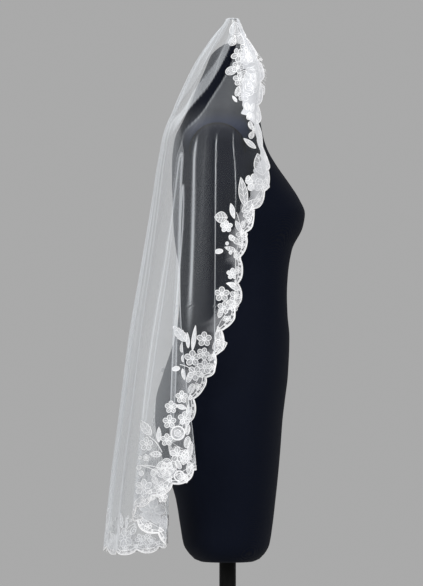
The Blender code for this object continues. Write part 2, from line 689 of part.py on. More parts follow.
def main():
    for leftover in list(bpy.data.objects):
        bpy.data.objects.remove(leftover)
    bpy.context.scene.collection.children.link(bpy.data.collections.new(COLLECTION))
    tulle = addMaterial("ivory tulle", (0.86, 0.86, 0.88), 0.75)
    lace = addMaterial("corded lace", (0.92, 0.91, 0.90), 0.6)
    jersey = addMaterial("navy jersey", (0.012, 0.016, 0.035), 0.8)
    steel = addMaterial("black steel", (0.01, 0.01, 0.011), 0.35, 0.6)
    comb = addMaterial("clear comb", (0.80, 0.80, 0.78), 0.25)
    roundPiece("base_plate", BASE_RADIUS, 0, BASE_HEIGHT, BASE_BEVEL, steel)
    roundPiece("pole", POLE_RADIUS, BASE_HEIGHT + SEAT_GAP, FORM_BOTTOM - SEAT_GAP, 0, steel)
    dressForm(jersey)
    combPiece(comb)
    strip = Strip()
    joins = (0, EDGE_LACE_LENGTH, strip.length - EDGE_LACE_LENGTH, strip.length)
    seams = []
    for name, start, end in zip(("lace_right", "lace_hem", "lace_left"), joins, joins[1:]):
        seams.append(laceEdging(name, strip, start, end, lace))
    tullePanel(strip, seams, tulle)


main()
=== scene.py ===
# A one-tier veil of tulle with a corded lace edging, worn by a limbless dress form on a pole.
# Metres, +Z up. The form faces -Y. Its right side is -X, which is the side that the photograph shows.
import math
from collections import namedtuple

import bmesh
import bpy
import numpy as np
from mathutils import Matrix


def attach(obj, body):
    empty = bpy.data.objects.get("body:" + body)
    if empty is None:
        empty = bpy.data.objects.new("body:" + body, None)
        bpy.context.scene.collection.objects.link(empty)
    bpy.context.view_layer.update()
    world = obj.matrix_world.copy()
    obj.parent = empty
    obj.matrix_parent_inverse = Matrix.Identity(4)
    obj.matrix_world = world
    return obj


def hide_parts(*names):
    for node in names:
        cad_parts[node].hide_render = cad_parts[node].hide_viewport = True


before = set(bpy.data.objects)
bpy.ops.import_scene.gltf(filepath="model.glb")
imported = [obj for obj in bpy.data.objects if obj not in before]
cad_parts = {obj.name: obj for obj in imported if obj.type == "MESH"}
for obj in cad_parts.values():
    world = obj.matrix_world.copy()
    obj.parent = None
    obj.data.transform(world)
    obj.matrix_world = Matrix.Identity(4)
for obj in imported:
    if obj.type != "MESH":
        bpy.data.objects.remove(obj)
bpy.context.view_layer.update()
print("frame loaded")

# How the cloth hangs: level sections from the comb down, as the solids have them
Section = namedtuple("Section", "drop height back side front halfWidth")
veilSections = [Section(*row) for row in (
    (0.000, 1.6176, -0.0090, -0.0090, -0.0090, 0.000),
    (0.014, 1.6172, -0.0035, -0.0090, -0.0145, 0.015),
    (0.030, 1.6162, 0.0020, -0.0090, -0.0200, 0.030),
    (0.042, 1.6060, 0.0080, -0.0090, -0.0250, 0.038),
    (0.060, 1.5886, 0.0215, -0.0080, -0.0325, 0.045),
    (0.080, 1.5688, 0.0350, -0.0060, -0.0445, 0.056),
    (0.111, 1.5382, 0.0550, -0.0040, -0.0660, 0.069),
    (0.143, 1.5058, 0.0720, 0.0000, -0.0740, 0.084),
    (0.180, 1.4698, 0.0885, 0.0050, -0.0710, 0.108),
    (0.206, 1.4446, 0.0990, 0.0080, -0.0690, 0.139),
    (0.222, 1.4302, 0.1060, 0.0100, -0.0690, 0.166),
    (0.238, 1.4158, 0.1120, 0.0120, -0.0700, 0.187),
    (0.256, 1.4000, 0.1170, 0.0130, -0.0720, 0.196),
    (0.276, 1.3800, 0.1210, 0.0135, -0.0780, 0.199),
    (0.316, 1.3400, 0.1280, 0.0135, -0.0940, 0.202),
    (0.356, 1.3000, 0.1330, 0.0135, -0.1000, 0.204),
    (0.476, 1.1800, 0.1500, 0.0135, -0.1000, 0.208),
    (0.606, 1.0500, 0.1700, 0.0135, -0.1000, 0.212),
    (0.736, 0.9200, 0.1860, 0.0135, -0.1000, 0.217),
    (0.866, 0.7900, 0.2030, 0.0135, -0.1000, 0.223),
    (1.036, 0.6200, 0.2210, 0.0135, -0.1000, 0.231),
)]
drape = {
    "squareness": 0.06,
    "sideBlend": 0.3,
    "gathers": 14,
    "gatherRise": 0.003,
    "gatherStart": 0.035,
    "gatherFull": 0.080,
    "gatherFade": 0.190,
    "gatherEnd": 0.300,
    "ridgePinch": 0.45,
    "pleatNarrowest": 0.8,
    "pleatTurnsTop": 1.15,
    "pleatTurnsLap": 1.3,
    "pleatRiseTop": 0.5,
    "pleatRound": 4.0,
    "pleatReach": 0.95,
    "pleatOpens": 0.08,
    "narrowest": 0.026,
}
# Folds, by degrees round from the back. A fold with a lap is a pleat, over tells which layer is outside,
# drift is degrees a metre and lift moves the whole pleat out
Fold = namedtuple("Fold", "angle width rise lap start full drift over lift", defaults=(0.0, 1, 0.0))
folds = [Fold(*row) for row in (
    (-118.0, 0.016, 0.003, 0.000, 0.21, 0.40),
    (-101.0, 0.017, 0.007, 0.000, 0.20, 0.34),
    (-84.0, 0.018, 0.009, 0.000, 0.20, 0.60),
    (-53.0, 0.040, 0.016, 0.064, 0.22, 0.98),
    (-33.0, 0.019, 0.010, 0.000, 0.24, 0.80),
    (-20.0, 0.018, 0.008, 0.000, 0.24, 0.80),
    (-7.0, 0.018, 0.008, 0.000, 0.20, 0.70),
    (7.0, 0.018, 0.008, 0.000, 0.20, 0.70),
    (20.0, 0.018, 0.009, 0.000, 0.24, 0.80),
    (33.0, 0.018, 0.008, 0.000, 0.24, 0.80),
    (53.0, 0.038, 0.016, 0.060, 0.22, 0.74),
    (63.5, 0.024, 0.010, 0.074, 0.22, 0.80, 14.0, -1, 0.004),
    (86.5, 0.017, 0.009, 0.000, 0.20, 0.50),
    (102.0, 0.017, 0.007, 0.000, 0.20, 0.34),
    (119.0, 0.016, 0.003, 0.000, 0.21, 0.40),
)]
# The picture's scale, for what is placed by its pixel in the photograph
picture = {"metresAPixel": 0.0018, "poleX": 227.6, "formBottomY": 561.0, "formBottom": 0.640, "stretch": 2.4,
           "flatFrom": 0.27, "reach": 0.045, "rows": 13, "around": 16.0, "columns": 81}

# The hem: the line of the notches between scallops, from the top of the front to the middle of the back.
# Where it shows side on it follows places in the photograph, x and y, each on the layer of the folded cloth
# that lies between two angles. Elsewhere its rows are drop and degrees
hemLaid = {
    "besideHead": (
        (0.035, 180.0), (0.0362, 165.0), (0.0415, 153.0), (0.054, 147.5), (0.080, 145.0), (0.111, 142.5),
        (0.143, 142.0), (0.185, 142.5), (0.223, 144.0), (0.256, 145.5), (0.285, 145.5), (0.312, 140.5),
        (0.340, 135.5), (0.367, 127.0), (0.383, 120.5),
    ),
    "underPleat": ((0.799, 75.5), (0.825, 71.0)),
    "atBack": ((0.986, 46.5), (0.992, 42.5), (0.995, 37.0), (0.993, 25.0), (0.989, 12.0), (0.986, 0.0)),
}
hemSeen = {
    "front": (
        (249, 220), (246, 230), (242, 246), (240, 252), (238, 267), (238.5, 290), (235, 310), (229, 316),
        (222, 322), (219.5, 330), (220, 345), (217, 355), (213.5, 362), (209.5, 368), (205, 376), (200, 379),
        (195, 386), (193.5, 392), (192, 402), (190, 417), (189, 425),
    ),
    "pleat": ((190, 466), (184, 474), (172, 481), (166, 485), (158, 490), (150, 495), (142, 502)),
    "below": ((140, 520), (147, 521), (153, 524), (160, 531), (166, 538)),
}
hemLayers = {"front": (70.0, 140.0), "pleat": (60.0, 69.6), "below": (47.0, 60.0)}
hem = {"leftShift": 0.006, "samples": 2400, "turn": 0.15, "ease": 48}


def smoothBetween(known, values, at):
    at = np.clip(at, known[0], known[-1])
    step = np.diff(known)
    slope = np.diff(values) / step
    tangent = np.zeros_like(values)
    same = slope[:-1] * slope[1:] > 0
    before, after = slope[:-1][same], slope[1:][same]
    tangent[1:-1][same] = 2 * before * after / (before + after)
    tangent[0], tangent[-1] = slope[0], slope[-1]
    row = np.clip(np.searchsorted(known, at, side="right") - 1, 0, len(step) - 1)
    u = (at - known[row]) / step[row]
    rise = (3 - 2 * u) * u * u
    bend = tangent[row] * (1 - u) - tangent[row + 1] * u
    return values[row] * (1 - rise) + values[row + 1] * rise + bend * step[row] * u * (1 - u)


def easeUp(value, low, high):
    u = np.clip((value - low) / (high - low), 0, 1)
    return u * u * (3 - 2 * u)


def columnOf(table, name):
    return np.array([getattr(row, name) for row in table])


def veilValue(name, drop):
    return smoothBetween(columnOf(veilSections, "drop"), columnOf(veilSections, name), drop)


def ovalPoint(turn, side, back, front, halfWidth, height, squareness):
    swell = 1 + squareness * np.sin(2 * turn) ** 2
    blend = easeUp(np.cos(turn), -drape["sideBlend"], drape["sideBlend"])
    reach = side - front + (back + front - 2 * side) * blend
    x = -halfWidth * np.sin(turn) * swell
    y = side + reach * np.cos(turn) * swell
    return np.stack(np.broadcast_arrays(x, y, height), axis=-1)


def plainVeilPoint(drop, angle):
    values = (veilValue(name, drop) for name in ("side", "back", "front", "halfWidth", "height"))
    return ovalPoint(np.radians(angle), *values, drape["squareness"])


def foldMiddle(fold, drop):
    return fold.angle + math.copysign(fold.drift, fold.angle) * np.maximum(drop - fold.start, 0)


def foldOffsets(drop, angle):
    radius = np.maximum(veilValue("halfWidth", drop), drape["narrowest"])
    outward = np.zeros(np.broadcast(drop, angle).shape)
    around = np.zeros_like(outward)
    for fold in folds:
        hand = math.copysign(1, fold.angle)
        grown = easeUp(drop, fold.start, fold.full)
        narrow = drape["pleatNarrowest"] + (1 - drape["pleatNarrowest"]) * grown if fold.lap else 1
        width = fold.width * narrow
        u = hand * np.radians(angle - foldMiddle(fold, drop)) * radius / width
        if fold.lap:
            opened = easeUp(drop, fold.start, fold.start + drape["pleatOpens"])
            turns = drape["pleatTurnsTop"] + drape["pleatTurnsLap"] * fold.lap / fold.width * grown
            around = around - hand * opened * turns * width * u * np.exp(-u * u)
            stack = fold.rise * (drape["pleatRiseTop"] + (1 - drape["pleatRiseTop"]) * grown)
            spread = (u + drape["pleatRound"] * u**3) * np.exp(-((u / drape["pleatReach"]) ** 2))
            outward = outward + opened * (fold.over * stack * spread + fold.lift * np.exp(-u * u))
        else:
            ridge = grown * np.exp(-u * u)
            outward = outward + fold.rise * ridge
            around = around - hand * drape["ridgePinch"] * width * u * ridge
    gather = easeUp(drop, drape["gatherStart"], drape["gatherFull"])
    gather = gather * (1 - easeUp(drop, drape["gatherFade"], drape["gatherEnd"]))
    outward = outward + drape["gatherRise"] * gather * np.cos(np.radians(angle) * drape["gathers"])
    return outward, np.degrees(around / radius)


# Small ripples between the large folds, which the solids leave out
ripples = {"count": 46, "rise": 0.0008, "slow": 9, "start": 0.05, "full": 0.30}


def rippleRise(drop, angle):
    turn = np.radians(angle)
    grown = easeUp(drop, ripples["start"], ripples["full"])
    wander = 1.7 * np.sin(turn * ripples["slow"] + 1.3) + 0.8 * np.sin(drop * 7 + turn * 3)
    size = 0.55 + 0.45 * np.sin(turn * 5 + 0.7)
    return ripples["rise"] * grown * size * np.cos(turn * ripples["count"] + wander)


def veilPoint(drop, angle, rippled=True):
    small = 0.25
    outward, around = foldOffsets(drop, angle)
    if rippled:
        outward = outward + rippleRise(drop, angle)
    moved = angle + around
    tangent = plainVeilPoint(drop, moved + small) - plainVeilPoint(drop, moved - small)
    length = np.maximum(np.hypot(tangent[..., 0], tangent[..., 1]), 1e-9)
    point = plainVeilPoint(drop, moved)
    point[..., 0] += outward * tangent[..., 1] / length
    point[..., 1] -= outward * tangent[..., 0] / length
    return point


def layOut(drop, angle):
    return drop * np.sin(np.radians(angle)), drop * np.cos(np.radians(angle))


def dropAndAngle(x, y):
    return np.hypot(x, y), np.degrees(np.arctan2(x, y))


def veilNormal(drop, angle):
    x, y = layOut(drop, angle)
    small = 0.0004
    byX = veilPoint(*dropAndAngle(x + small, y)) - veilPoint(*dropAndAngle(x - small, y))
    byY = veilPoint(*dropAndAngle(x, y + small)) - veilPoint(*dropAndAngle(x, y - small))
    normal = np.cross(byX, byY)
    return normal / np.maximum(np.linalg.norm(normal, axis=-1, keepdims=True), 1e-12)


def onVeil(drop, angle, height):
    return veilPoint(drop, angle) + veilNormal(drop, angle) * np.reshape(height, (-1, 1))


def evened(values, turn=0.0):
    window = 2 * hem["ease"] + 1
    for _ in range(2):
        padded = np.concatenate([values[-hem["ease"]:] + turn, values, values[:hem["ease"]] - turn])
        values = np.convolve(padded, np.full(window, 1 / window), mode="valid")
    return values


# The drop and degrees of the cloth's layer that shows at a pixel of the photograph
def seenOnCloth(x, y, layer):
    across = (picture["poleX"] - x) * picture["metresAPixel"]
    height = picture["formBottom"] + (picture["formBottomY"] - y) * picture["metresAPixel"]
    drops = np.linspace(0, veilSections[-1].drop, hem["samples"])
    drop = np.interp(-height, -veilValue("height", drops), drops)
    angles = np.linspace(*hemLayers[layer], hem["samples"])
    off = veilPoint(np.full_like(angles, drop), angles, rippled=False)[:, 1] - across
    return drop, angles[np.argmin(np.abs(off))]


def rightHem():
    rows = list(hemLaid["besideHead"])
    rows += [seenOnCloth(x, y, "front") for x, y in hemSeen["front"]]
    rows += hemLaid["underPleat"]
    rows += [seenOnCloth(x, y, "pleat") for x, y in hemSeen["pleat"]]
    rows += [seenOnCloth(x, y, "below") for x, y in hemSeen["below"]]
    return np.array(rows + list(hemLaid["atBack"])).T


def hemLine():
    drop, angle = rightHem()
    turn = 2 * angle[0]
    steps = np.hypot(np.diff(drop), np.diff(np.radians(angle)) * hem["turn"])
    place = np.concatenate([[0], np.cumsum(steps)])
    fine = np.linspace(0, place[-1], hem["samples"])
    drop, angle = smoothBetween(place, drop, fine), smoothBetween(place, angle, fine)
    longer = hem["leftShift"] * easeUp(drop, 0.3, 0.6) * easeUp(angle, 0, 30)
    drop = evened(np.append(drop, (drop + longer)[-2:0:-1]))
    angle = evened(np.append(angle, -angle[-2:0:-1]), turn)
    return np.append(drop, drop[0]), np.append(angle, angle[0] - turn)


# The border laid flat: a length along the hem and a distance inwards from it
class Border:
    def __init__(self):
        self.drop, self.angle = hemLine()
        self.x, self.y = layOut(self.drop, self.angle)
        points = veilPoint(self.drop, self.angle, rippled=False)
        self.along = np.concatenate([[0], np.cumsum(np.linalg.norm(np.diff(points, axis=0), axis=1))])
        self.length = self.along[-1]
        self.xIn, self.yIn = self.wayIn()

    def wayIn(self):
        small = 0.0005
        byX = veilPoint(*dropAndAngle(self.x + small, self.y), rippled=False)
        byX = (byX - veilPoint(*dropAndAngle(self.x - small, self.y), rippled=False)) / (2 * small)
        byY = veilPoint(*dropAndAngle(self.x, self.y + small), rippled=False)
        byY = (byY - veilPoint(*dropAndAngle(self.x, self.y - small), rippled=False)) / (2 * small)
        way = np.gradient(self.x)[:, None] * byX + np.gradient(self.y)[:, None] * byY
        across = np.cross(np.cross(byX, byY), way)
        across /= np.linalg.norm(across, axis=1, keepdims=True)
        a, b, c = (byX**2).sum(1), (byX * byY).sum(1), (byY**2).sum(1)
        p, q = (across * byX).sum(1), (across * byY).sum(1)
        share = a * c - b * b
        xIn, yIn = evened(((c * p - b * q) / share)[:-1]), evened(((a * q - b * p) / share)[:-1])
        return np.append(xIn, xIn[0]), np.append(yIn, yIn[0])

    def place(self, along, inward):
        x = np.interp(along, self.along, self.x) + inward * np.interp(along, self.along, self.xIn)
        y = np.interp(along, self.along, self.y) + inward * np.interp(along, self.along, self.yIn)
        return dropAndAngle(x, y)


edging = {
    "pitch": 0.046,  # one scallop
    "depth": 0.009,
    "round": 2.4,
    "repeat": 3,  # scallops in a spray of leaves
    "band": 0.026,
    "spray": 0.022,
    "leaf": 0.003,
    "topBand": 0.020,
    "topLength": 0.08,
    "piece": 0.92,
    "seamGap": 0.0011,
    "roseAlong": 0.150,
    "roseInward": 0.018,
    "roseRadius": 0.024,
    "roseEdge": 0.003,
    "roseEase": 0.050,
    "step": 0.0024,
    "rows": 12,
    "lift": 0.0010,
    "fadeFrom": 0.45,
    "thickNet": 2.9,
    "thickTo": 0.30,
    "thinFrom": 0.50,
}


def scallopEdge(along):
    place = (along / edging["pitch"]) % 1
    return -edging["depth"] * (1 - np.abs(2 * place - 1) ** edging["round"])


def leafyEdge(along, length):
    fromComb = np.minimum(along, length - along)
    spray = np.sin(math.pi * along / (edging["repeat"] * edging["pitch"])) ** 4
    leaves = edging["leaf"] * np.cos(4 * math.pi * along / edging["pitch"])
    grown = easeUp(fromComb, edging["topLength"] / 2, edging["topLength"])
    width = edging["topBand"] + grown * (edging["band"] - edging["topBand"] + leaves + edging["spray"] * spray)
    beside = edging["roseRadius"] / 2
    rose = 1 - easeUp(np.abs(fromComb - edging["roseAlong"]), beside, beside + edging["roseEase"])
    roseWidth = edging["roseInward"] + edging["roseRadius"] + edging["roseEdge"]
    return width + rose * np.maximum(roseWidth - width, 0)


border = Border()
print("border is", round(border.length, 4), "m long")


def addPiece(name, mesh, material):
    mesh.materials.append(material)
    piece = bpy.data.objects.new(name, mesh)
    bpy.context.scene.collection.objects.link(piece)
    return piece


def gridFaces(rows, columns, closed=False):
    across = columns if closed else columns - 1
    r, c = np.meshgrid(np.arange(rows - 1), np.arange(across), indexing="ij")
    here, beside = r * columns + c, r * columns + (c + 1) % columns
    faces = np.stack([here, beside, beside + columns, here + columns], axis=-1)
    return faces.reshape(-1, 4)


def meshOf(name, points, faces, layers=None, uv=None):
    mesh = bpy.data.meshes.new(name)
    mesh.from_pydata(np.asarray(points).tolist(), [], np.asarray(faces).tolist())
    for layer, values in (layers or {}).items():
        attribute = mesh.attributes.new(layer, "FLOAT", "POINT")
        attribute.data.foreach_set("value", np.asarray(values, dtype=np.float32))
    if uv is not None:
        corners = np.zeros(len(mesh.loops), dtype=np.int32)
        mesh.loops.foreach_get("vertex_index", corners)
        mesh.uv_layers.new(name="cloth").data.foreach_set("uv", np.asarray(uv, dtype=np.float32)[corners].ravel())
    mesh.shade_smooth()
    return mesh


def welded(mesh, distance):
    body = bmesh.new()
    body.from_mesh(mesh)
    bmesh.ops.remove_doubles(body, verts=body.verts, dist=distance)
    bmesh.ops.dissolve_degenerate(body, edges=body.edges, dist=distance / 2)
    body.to_mesh(mesh)
    body.free()
    return mesh


def nodesOf(material):
    material.use_nodes = True
    return material.node_tree.nodes, material.node_tree.links


def linkMath(tree, operation, first, second=None, third=None):
    node = tree.nodes.new("ShaderNodeMath")
    node.operation = operation
    for socket, value in zip(node.inputs, (first, second, third)):
        if value is None:
            continue
        if isinstance(value, (int, float)):
            socket.default_value = value
        else:
            tree.links.new(value, socket)
    return node.outputs[0]


# Thin cloth: the share of it that hides what is behind, which grows as it turns edge on
def clothCoverGroup():
    tree = bpy.data.node_groups.new("thinClothCover", "ShaderNodeTree")
    tree.interface.new_socket("Facing", in_out="INPUT", socket_type="NodeSocketFloat")
    tree.interface.new_socket("Threads", in_out="INPUT", socket_type="NodeSocketFloat")
    tree.interface.new_socket("Cover", in_out="OUTPUT", socket_type="NodeSocketFloat")
    given = tree.nodes.new("NodeGroupInput")
    result = tree.nodes.new("NodeGroupOutput")
    slant = linkMath(tree, "MAXIMUM", linkMath(tree, "SUBTRACT", 1.0, given.outputs["Facing"]), 0.2)
    layers = linkMath(tree, "DIVIDE", 1.0, slant)
    open_ = linkMath(tree, "POWER", linkMath(tree, "SUBTRACT", 1.0, given.outputs["Threads"]), layers)
    tree.links.new(linkMath(tree, "SUBTRACT", 1.0, open_), result.inputs["Cover"])
    return tree


coverGroup = clothCoverGroup()


# Fine surfaces by the object's own coordinates: grain is a soft speckle, ribs are close parallel lines
def fineGroup(name, texture, scale, distortion):
    tree = bpy.data.node_groups.new(name, "ShaderNodeTree")
    tree.interface.new_socket("Strength", in_out="INPUT", socket_type="NodeSocketFloat")
    tree.interface.new_socket("Value", in_out="OUTPUT", socket_type="NodeSocketFloat")
    given = tree.nodes.new("NodeGroupInput")
    result = tree.nodes.new("NodeGroupOutput")
    place = tree.nodes.new("ShaderNodeTexCoord")
    pattern = tree.nodes.new(texture)
    pattern.inputs["Scale"].default_value = scale
    pattern.inputs["Distortion"].default_value = distortion
    if texture == "ShaderNodeTexWave":
        pattern.bands_direction = "DIAGONAL"
    tree.links.new(place.outputs["Object"], pattern.inputs["Vector"])
    centred = linkMath(tree, "SUBTRACT", pattern.outputs["Fac"], 0.5)
    tree.links.new(linkMath(tree, "MULTIPLY_ADD", centred, given.outputs["Strength"], 1.0), result.inputs["Value"])
    return tree


fine = {
    "grain": fineGroup("fineGrain", "ShaderNodeTexNoise", 420.0, 0.2),
    "ribs": fineGroup("fineRibs", "ShaderNodeTexWave", 330.0, 1.5),
    "knit": fineGroup("fineKnit", "ShaderNodeTexWave", 210.0, 4.0),
    "cloud": fineGroup("softCloud", "ShaderNodeTexNoise", 9.0, 0.3),
}


def fineOf(material, kind, strength):
    node = material.node_tree.nodes.new("ShaderNodeGroup")
    node.node_tree = fine[kind]
    node.inputs["Strength"].default_value = strength
    return node.outputs["Value"]


# Fine relief and a slight change of colour and roughness on a plain finish
def addGrain(material, kind, strength, bump, distance):
    tree = material.node_tree
    shader = tree.nodes["Principled BSDF"]
    value = fineOf(material, kind, strength)
    tint = tree.nodes.new("ShaderNodeVectorMath")
    tint.operation = "SCALE"
    tint.inputs[0].default_value = tuple(shader.inputs["Base Color"].default_value)[:3]
    tree.links.new(value, tint.inputs["Scale"])
    tree.links.new(tint.outputs["Vector"], shader.inputs["Base Color"])
    rough = linkMath(tree, "MULTIPLY", value, shader.inputs["Roughness"].default_value)
    tree.links.new(rough, shader.inputs["Roughness"])
    relief = tree.nodes.new("ShaderNodeBump")
    relief.inputs["Strength"].default_value = bump
    relief.inputs["Distance"].default_value = distance
    tree.links.new(value, relief.inputs["Height"])
    tree.links.new(relief.outputs["Normal"], shader.inputs["Normal"])


netting = {"cells": 700.0, "uneven": 0.25, "strand": 0.15, "strandCover": 0.40, "holeCover": 0.70}


def thinCloth(name, color, threads, creaseHighlight):
    material = bpy.data.materials.new(name)
    nodes, links = nodesOf(material)
    shader = nodes["Principled BSDF"]
    shader.inputs["Base Color"].default_value = (*color, 1)
    shader.inputs["Roughness"].default_value = 0.6
    shader.inputs["Sheen Weight"].default_value = 0.25
    facing = nodes.new("ShaderNodeLayerWeight")
    cover = nodes.new("ShaderNodeGroup")
    cover.node_tree = coverGroup
    links.new(facing.outputs["Facing"], cover.inputs["Facing"])
    # Painted highlight: the crease attribute adds cover, so the white cloth shows bright lines along fold edges and
    # the listed lines
    creaseHighlights = nodes.new("ShaderNodeAttribute")
    creaseHighlights.attribute_name = "creaseHighlight"
    layers = nodes.new("ShaderNodeAttribute")
    layers.attribute_name = "layers"
    tree = material.node_tree
    flat = nodes.new("ShaderNodeUVMap")
    flat.uv_map = "cloth"
    mesh = nodes.new("ShaderNodeTexVoronoi")
    mesh.feature = "DISTANCE_TO_EDGE"
    mesh.inputs["Scale"].default_value = netting["cells"]
    mesh.inputs["Randomness"].default_value = netting["uneven"]
    links.new(flat.outputs["UV"], mesh.inputs["Vector"])
    strand = linkMath(tree, "LESS_THAN", mesh.outputs["Distance"], netting["strand"])
    strand = linkMath(tree, "MULTIPLY_ADD", strand, netting["strandCover"], netting["holeCover"])
    thick = linkMath(tree, "MULTIPLY", layers.outputs["Fac"], threads)
    thick = linkMath(tree, "MULTIPLY", thick, strand)
    thick = linkMath(tree, "MULTIPLY_ADD", creaseHighlights.outputs["Fac"], creaseHighlight, thick)
    links.new(thick, cover.inputs["Threads"])
    links.new(cover.outputs["Cover"], shader.inputs["Alpha"])
    return material


def plainFinish(name, color, roughness, metallic=0.0):
    material = bpy.data.materials.new(name)
    nodes, _ = nodesOf(material)
    shader = nodes["Principled BSDF"]
    shader.inputs["Base Color"].default_value = (*color, 1)
    shader.inputs["Roughness"].default_value = roughness
    shader.inputs["Metallic"].default_value = metallic
    return material


# The tulle: rows by their drop, columns from hem to hem, and a patch below for the bottom scallops
tulle = {
    "topGap": 0.0025,
    "topEnd": 0.060,
    "rowGap": 0.0065,
    "columns": 440,
    "joinDrop": 0.925,
    "bottomRows": 13,
    "tip": 0.012,  # metres of cloth that a full turn of a fold counts as, so its tips are finer
    "fine": 2600,
    "lift": 0.0005,
    "highlightWidth": 0.0021,
    "threads": 0.085,
    "creaseHighlight": 0.30,
}
# The tulle's bright lines along its folds are a painted highlight, carried by the crease attribute
tulleCloth = thinCloth("ivoryTulle", (0.86, 0.90, 0.945), tulle["threads"], tulle["creaseHighlight"])
laceCloth = thinCloth("laceNet", (0.68, 0.69, 0.72), 0.24, 0.20)


def hemAngle(side, drop):
    middle = np.argmin(np.abs(border.angle))
    part = slice(0, middle) if side > 0 else slice(len(border.drop) - 1, middle, -1)
    drops, angles = border.drop[part], border.angle[part]
    last = np.argmax(drops)
    return np.interp(drop, np.maximum.accumulate(drops[:last]), angles[:last])


# Painted highlight lines down the front panel, bright lines with no fold under them: drop and degrees where each
# starts and ends, and how sharp it is
HighlightLine = namedtuple("HighlightLine", "start startAngle end endAngle strength")
highlightLines = (
    HighlightLine(0.262, 68.8, 0.620, 76.5, 1.3),
    HighlightLine(0.258, 85.8, 0.900, 86.2, 1.5),
    HighlightLine(0.256, 104.9, 0.420, 103.0, 1.6),
)


# Painted highlight: bright lines where the cloth folds back, at real fold edges, and along the listed lines where
# there is no fold
def creaseHighlightOf(drop, angle):
    whole = np.zeros_like(angle)
    _, around = foldOffsets(drop, angle)
    points = veilPoint(drop, angle)
    place = np.concatenate([[0], np.cumsum(np.linalg.norm(np.diff(points, axis=0), axis=1))])
    moved = angle + around
    turned = np.nonzero(np.diff(np.sign(np.diff(moved))))[0] + 1
    for number in turned:
        whole += np.exp(-((place - place[number]) / tulle["highlightWidth"]) ** 2)
    radius = max(float(veilValue("halfWidth", drop[0])), drape["narrowest"])
    for line in highlightLines:
        middle = np.interp(drop, (line.start, line.end), (line.startAngle, line.endAngle))
        off = np.radians(np.abs(angle) - middle) * radius * (1 - drape["ridgePinch"])
        shown = easeUp(drop, line.start - 0.012, line.start + 0.012) * (1 - easeUp(drop, line.end - 0.10, line.end))
        whole += line.strength * shown * np.exp(-((off / (0.45 * tulle["highlightWidth"])) ** 2))
    return np.clip(whole, 0, 1.6)


# Gathered strips that run from the comb back to the shoulder: angle beside the comb and at the shoulder
gathered = {"comb": 0.095, "shoulder": 0.228, "fade": 0.05, "front": 0.95, "edge": 0.8}
strips = (
    # comb angle, shoulder angle, and how many layers the cloth has behind that line
    (100.6, 60.3, 2.6),
    (98.8, 58.6, 0.02),
    (84.5, 41.0, 2.7),
    (70.0, 27.0, 1.0),
    (52.0, 18.0, 2.2),
)


# How thick the cloth looks below the shoulder, by degrees from the back
hanging = ((0, 2.00), (38, 1.95), (46, 0.45), (56, 0.30), (63, 0.55), (76, 0.75), (82, 0.27), (150, 0.25))
shoulderDip = {"from": 0.185, "to": 0.255, "share": 0.42}


def layersAt(drop, angle):
    share = (drop - gathered["comb"]) / (gathered["shoulder"] - gathered["comb"])
    share = np.clip(share, -0.5, 1.3)
    layers = np.full_like(angle, gathered["front"])
    for comb, shoulder, count in strips:
        line = comb + (shoulder - comb) * share
        behind = 1 - easeUp(np.abs(angle), line - gathered["edge"], line + gathered["edge"])
        layers = layers + (count - layers) * behind
    fade = easeUp(drop, gathered["shoulder"] - gathered["fade"], gathered["shoulder"] + gathered["fade"])
    below = np.interp(np.abs(angle), *np.array(hanging, float).T)
    middle = (shoulderDip["from"] + shoulderDip["to"]) / 2
    dip = np.exp(-((drop - middle) / (shoulderDip["to"] - middle)) ** 2) * easeUp(np.abs(angle), 55, 75)
    return (layers * (1 - fade) + fade * below) * (1 - (1 - shoulderDip["share"]) * dip)


def evenRow(drop, left, right):
    angle = np.linspace(left, right, tulle["fine"])
    drops = np.full_like(angle, drop)
    points = veilPoint(drops, angle)
    steps = np.diff(points, axis=0)
    lengths = np.linalg.norm(steps, axis=1)
    ways = steps / np.maximum(lengths, 1e-9)[:, None]
    turns = np.arccos(np.clip((ways[1:] * ways[:-1]).sum(1), -1, 1))
    measure = lengths + tulle["tip"] * np.append(0, turns)
    place = np.concatenate([[0], np.cumsum(measure)])
    even = np.interp(np.linspace(0, place[-1], tulle["columns"]), place, angle)
    along = np.concatenate([[0], np.cumsum(lengths)])
    middle = np.interp(0, angle, along)
    return even, np.interp(even, angle, along) - middle, np.interp(even, angle, creaseHighlightOf(drops, angle))


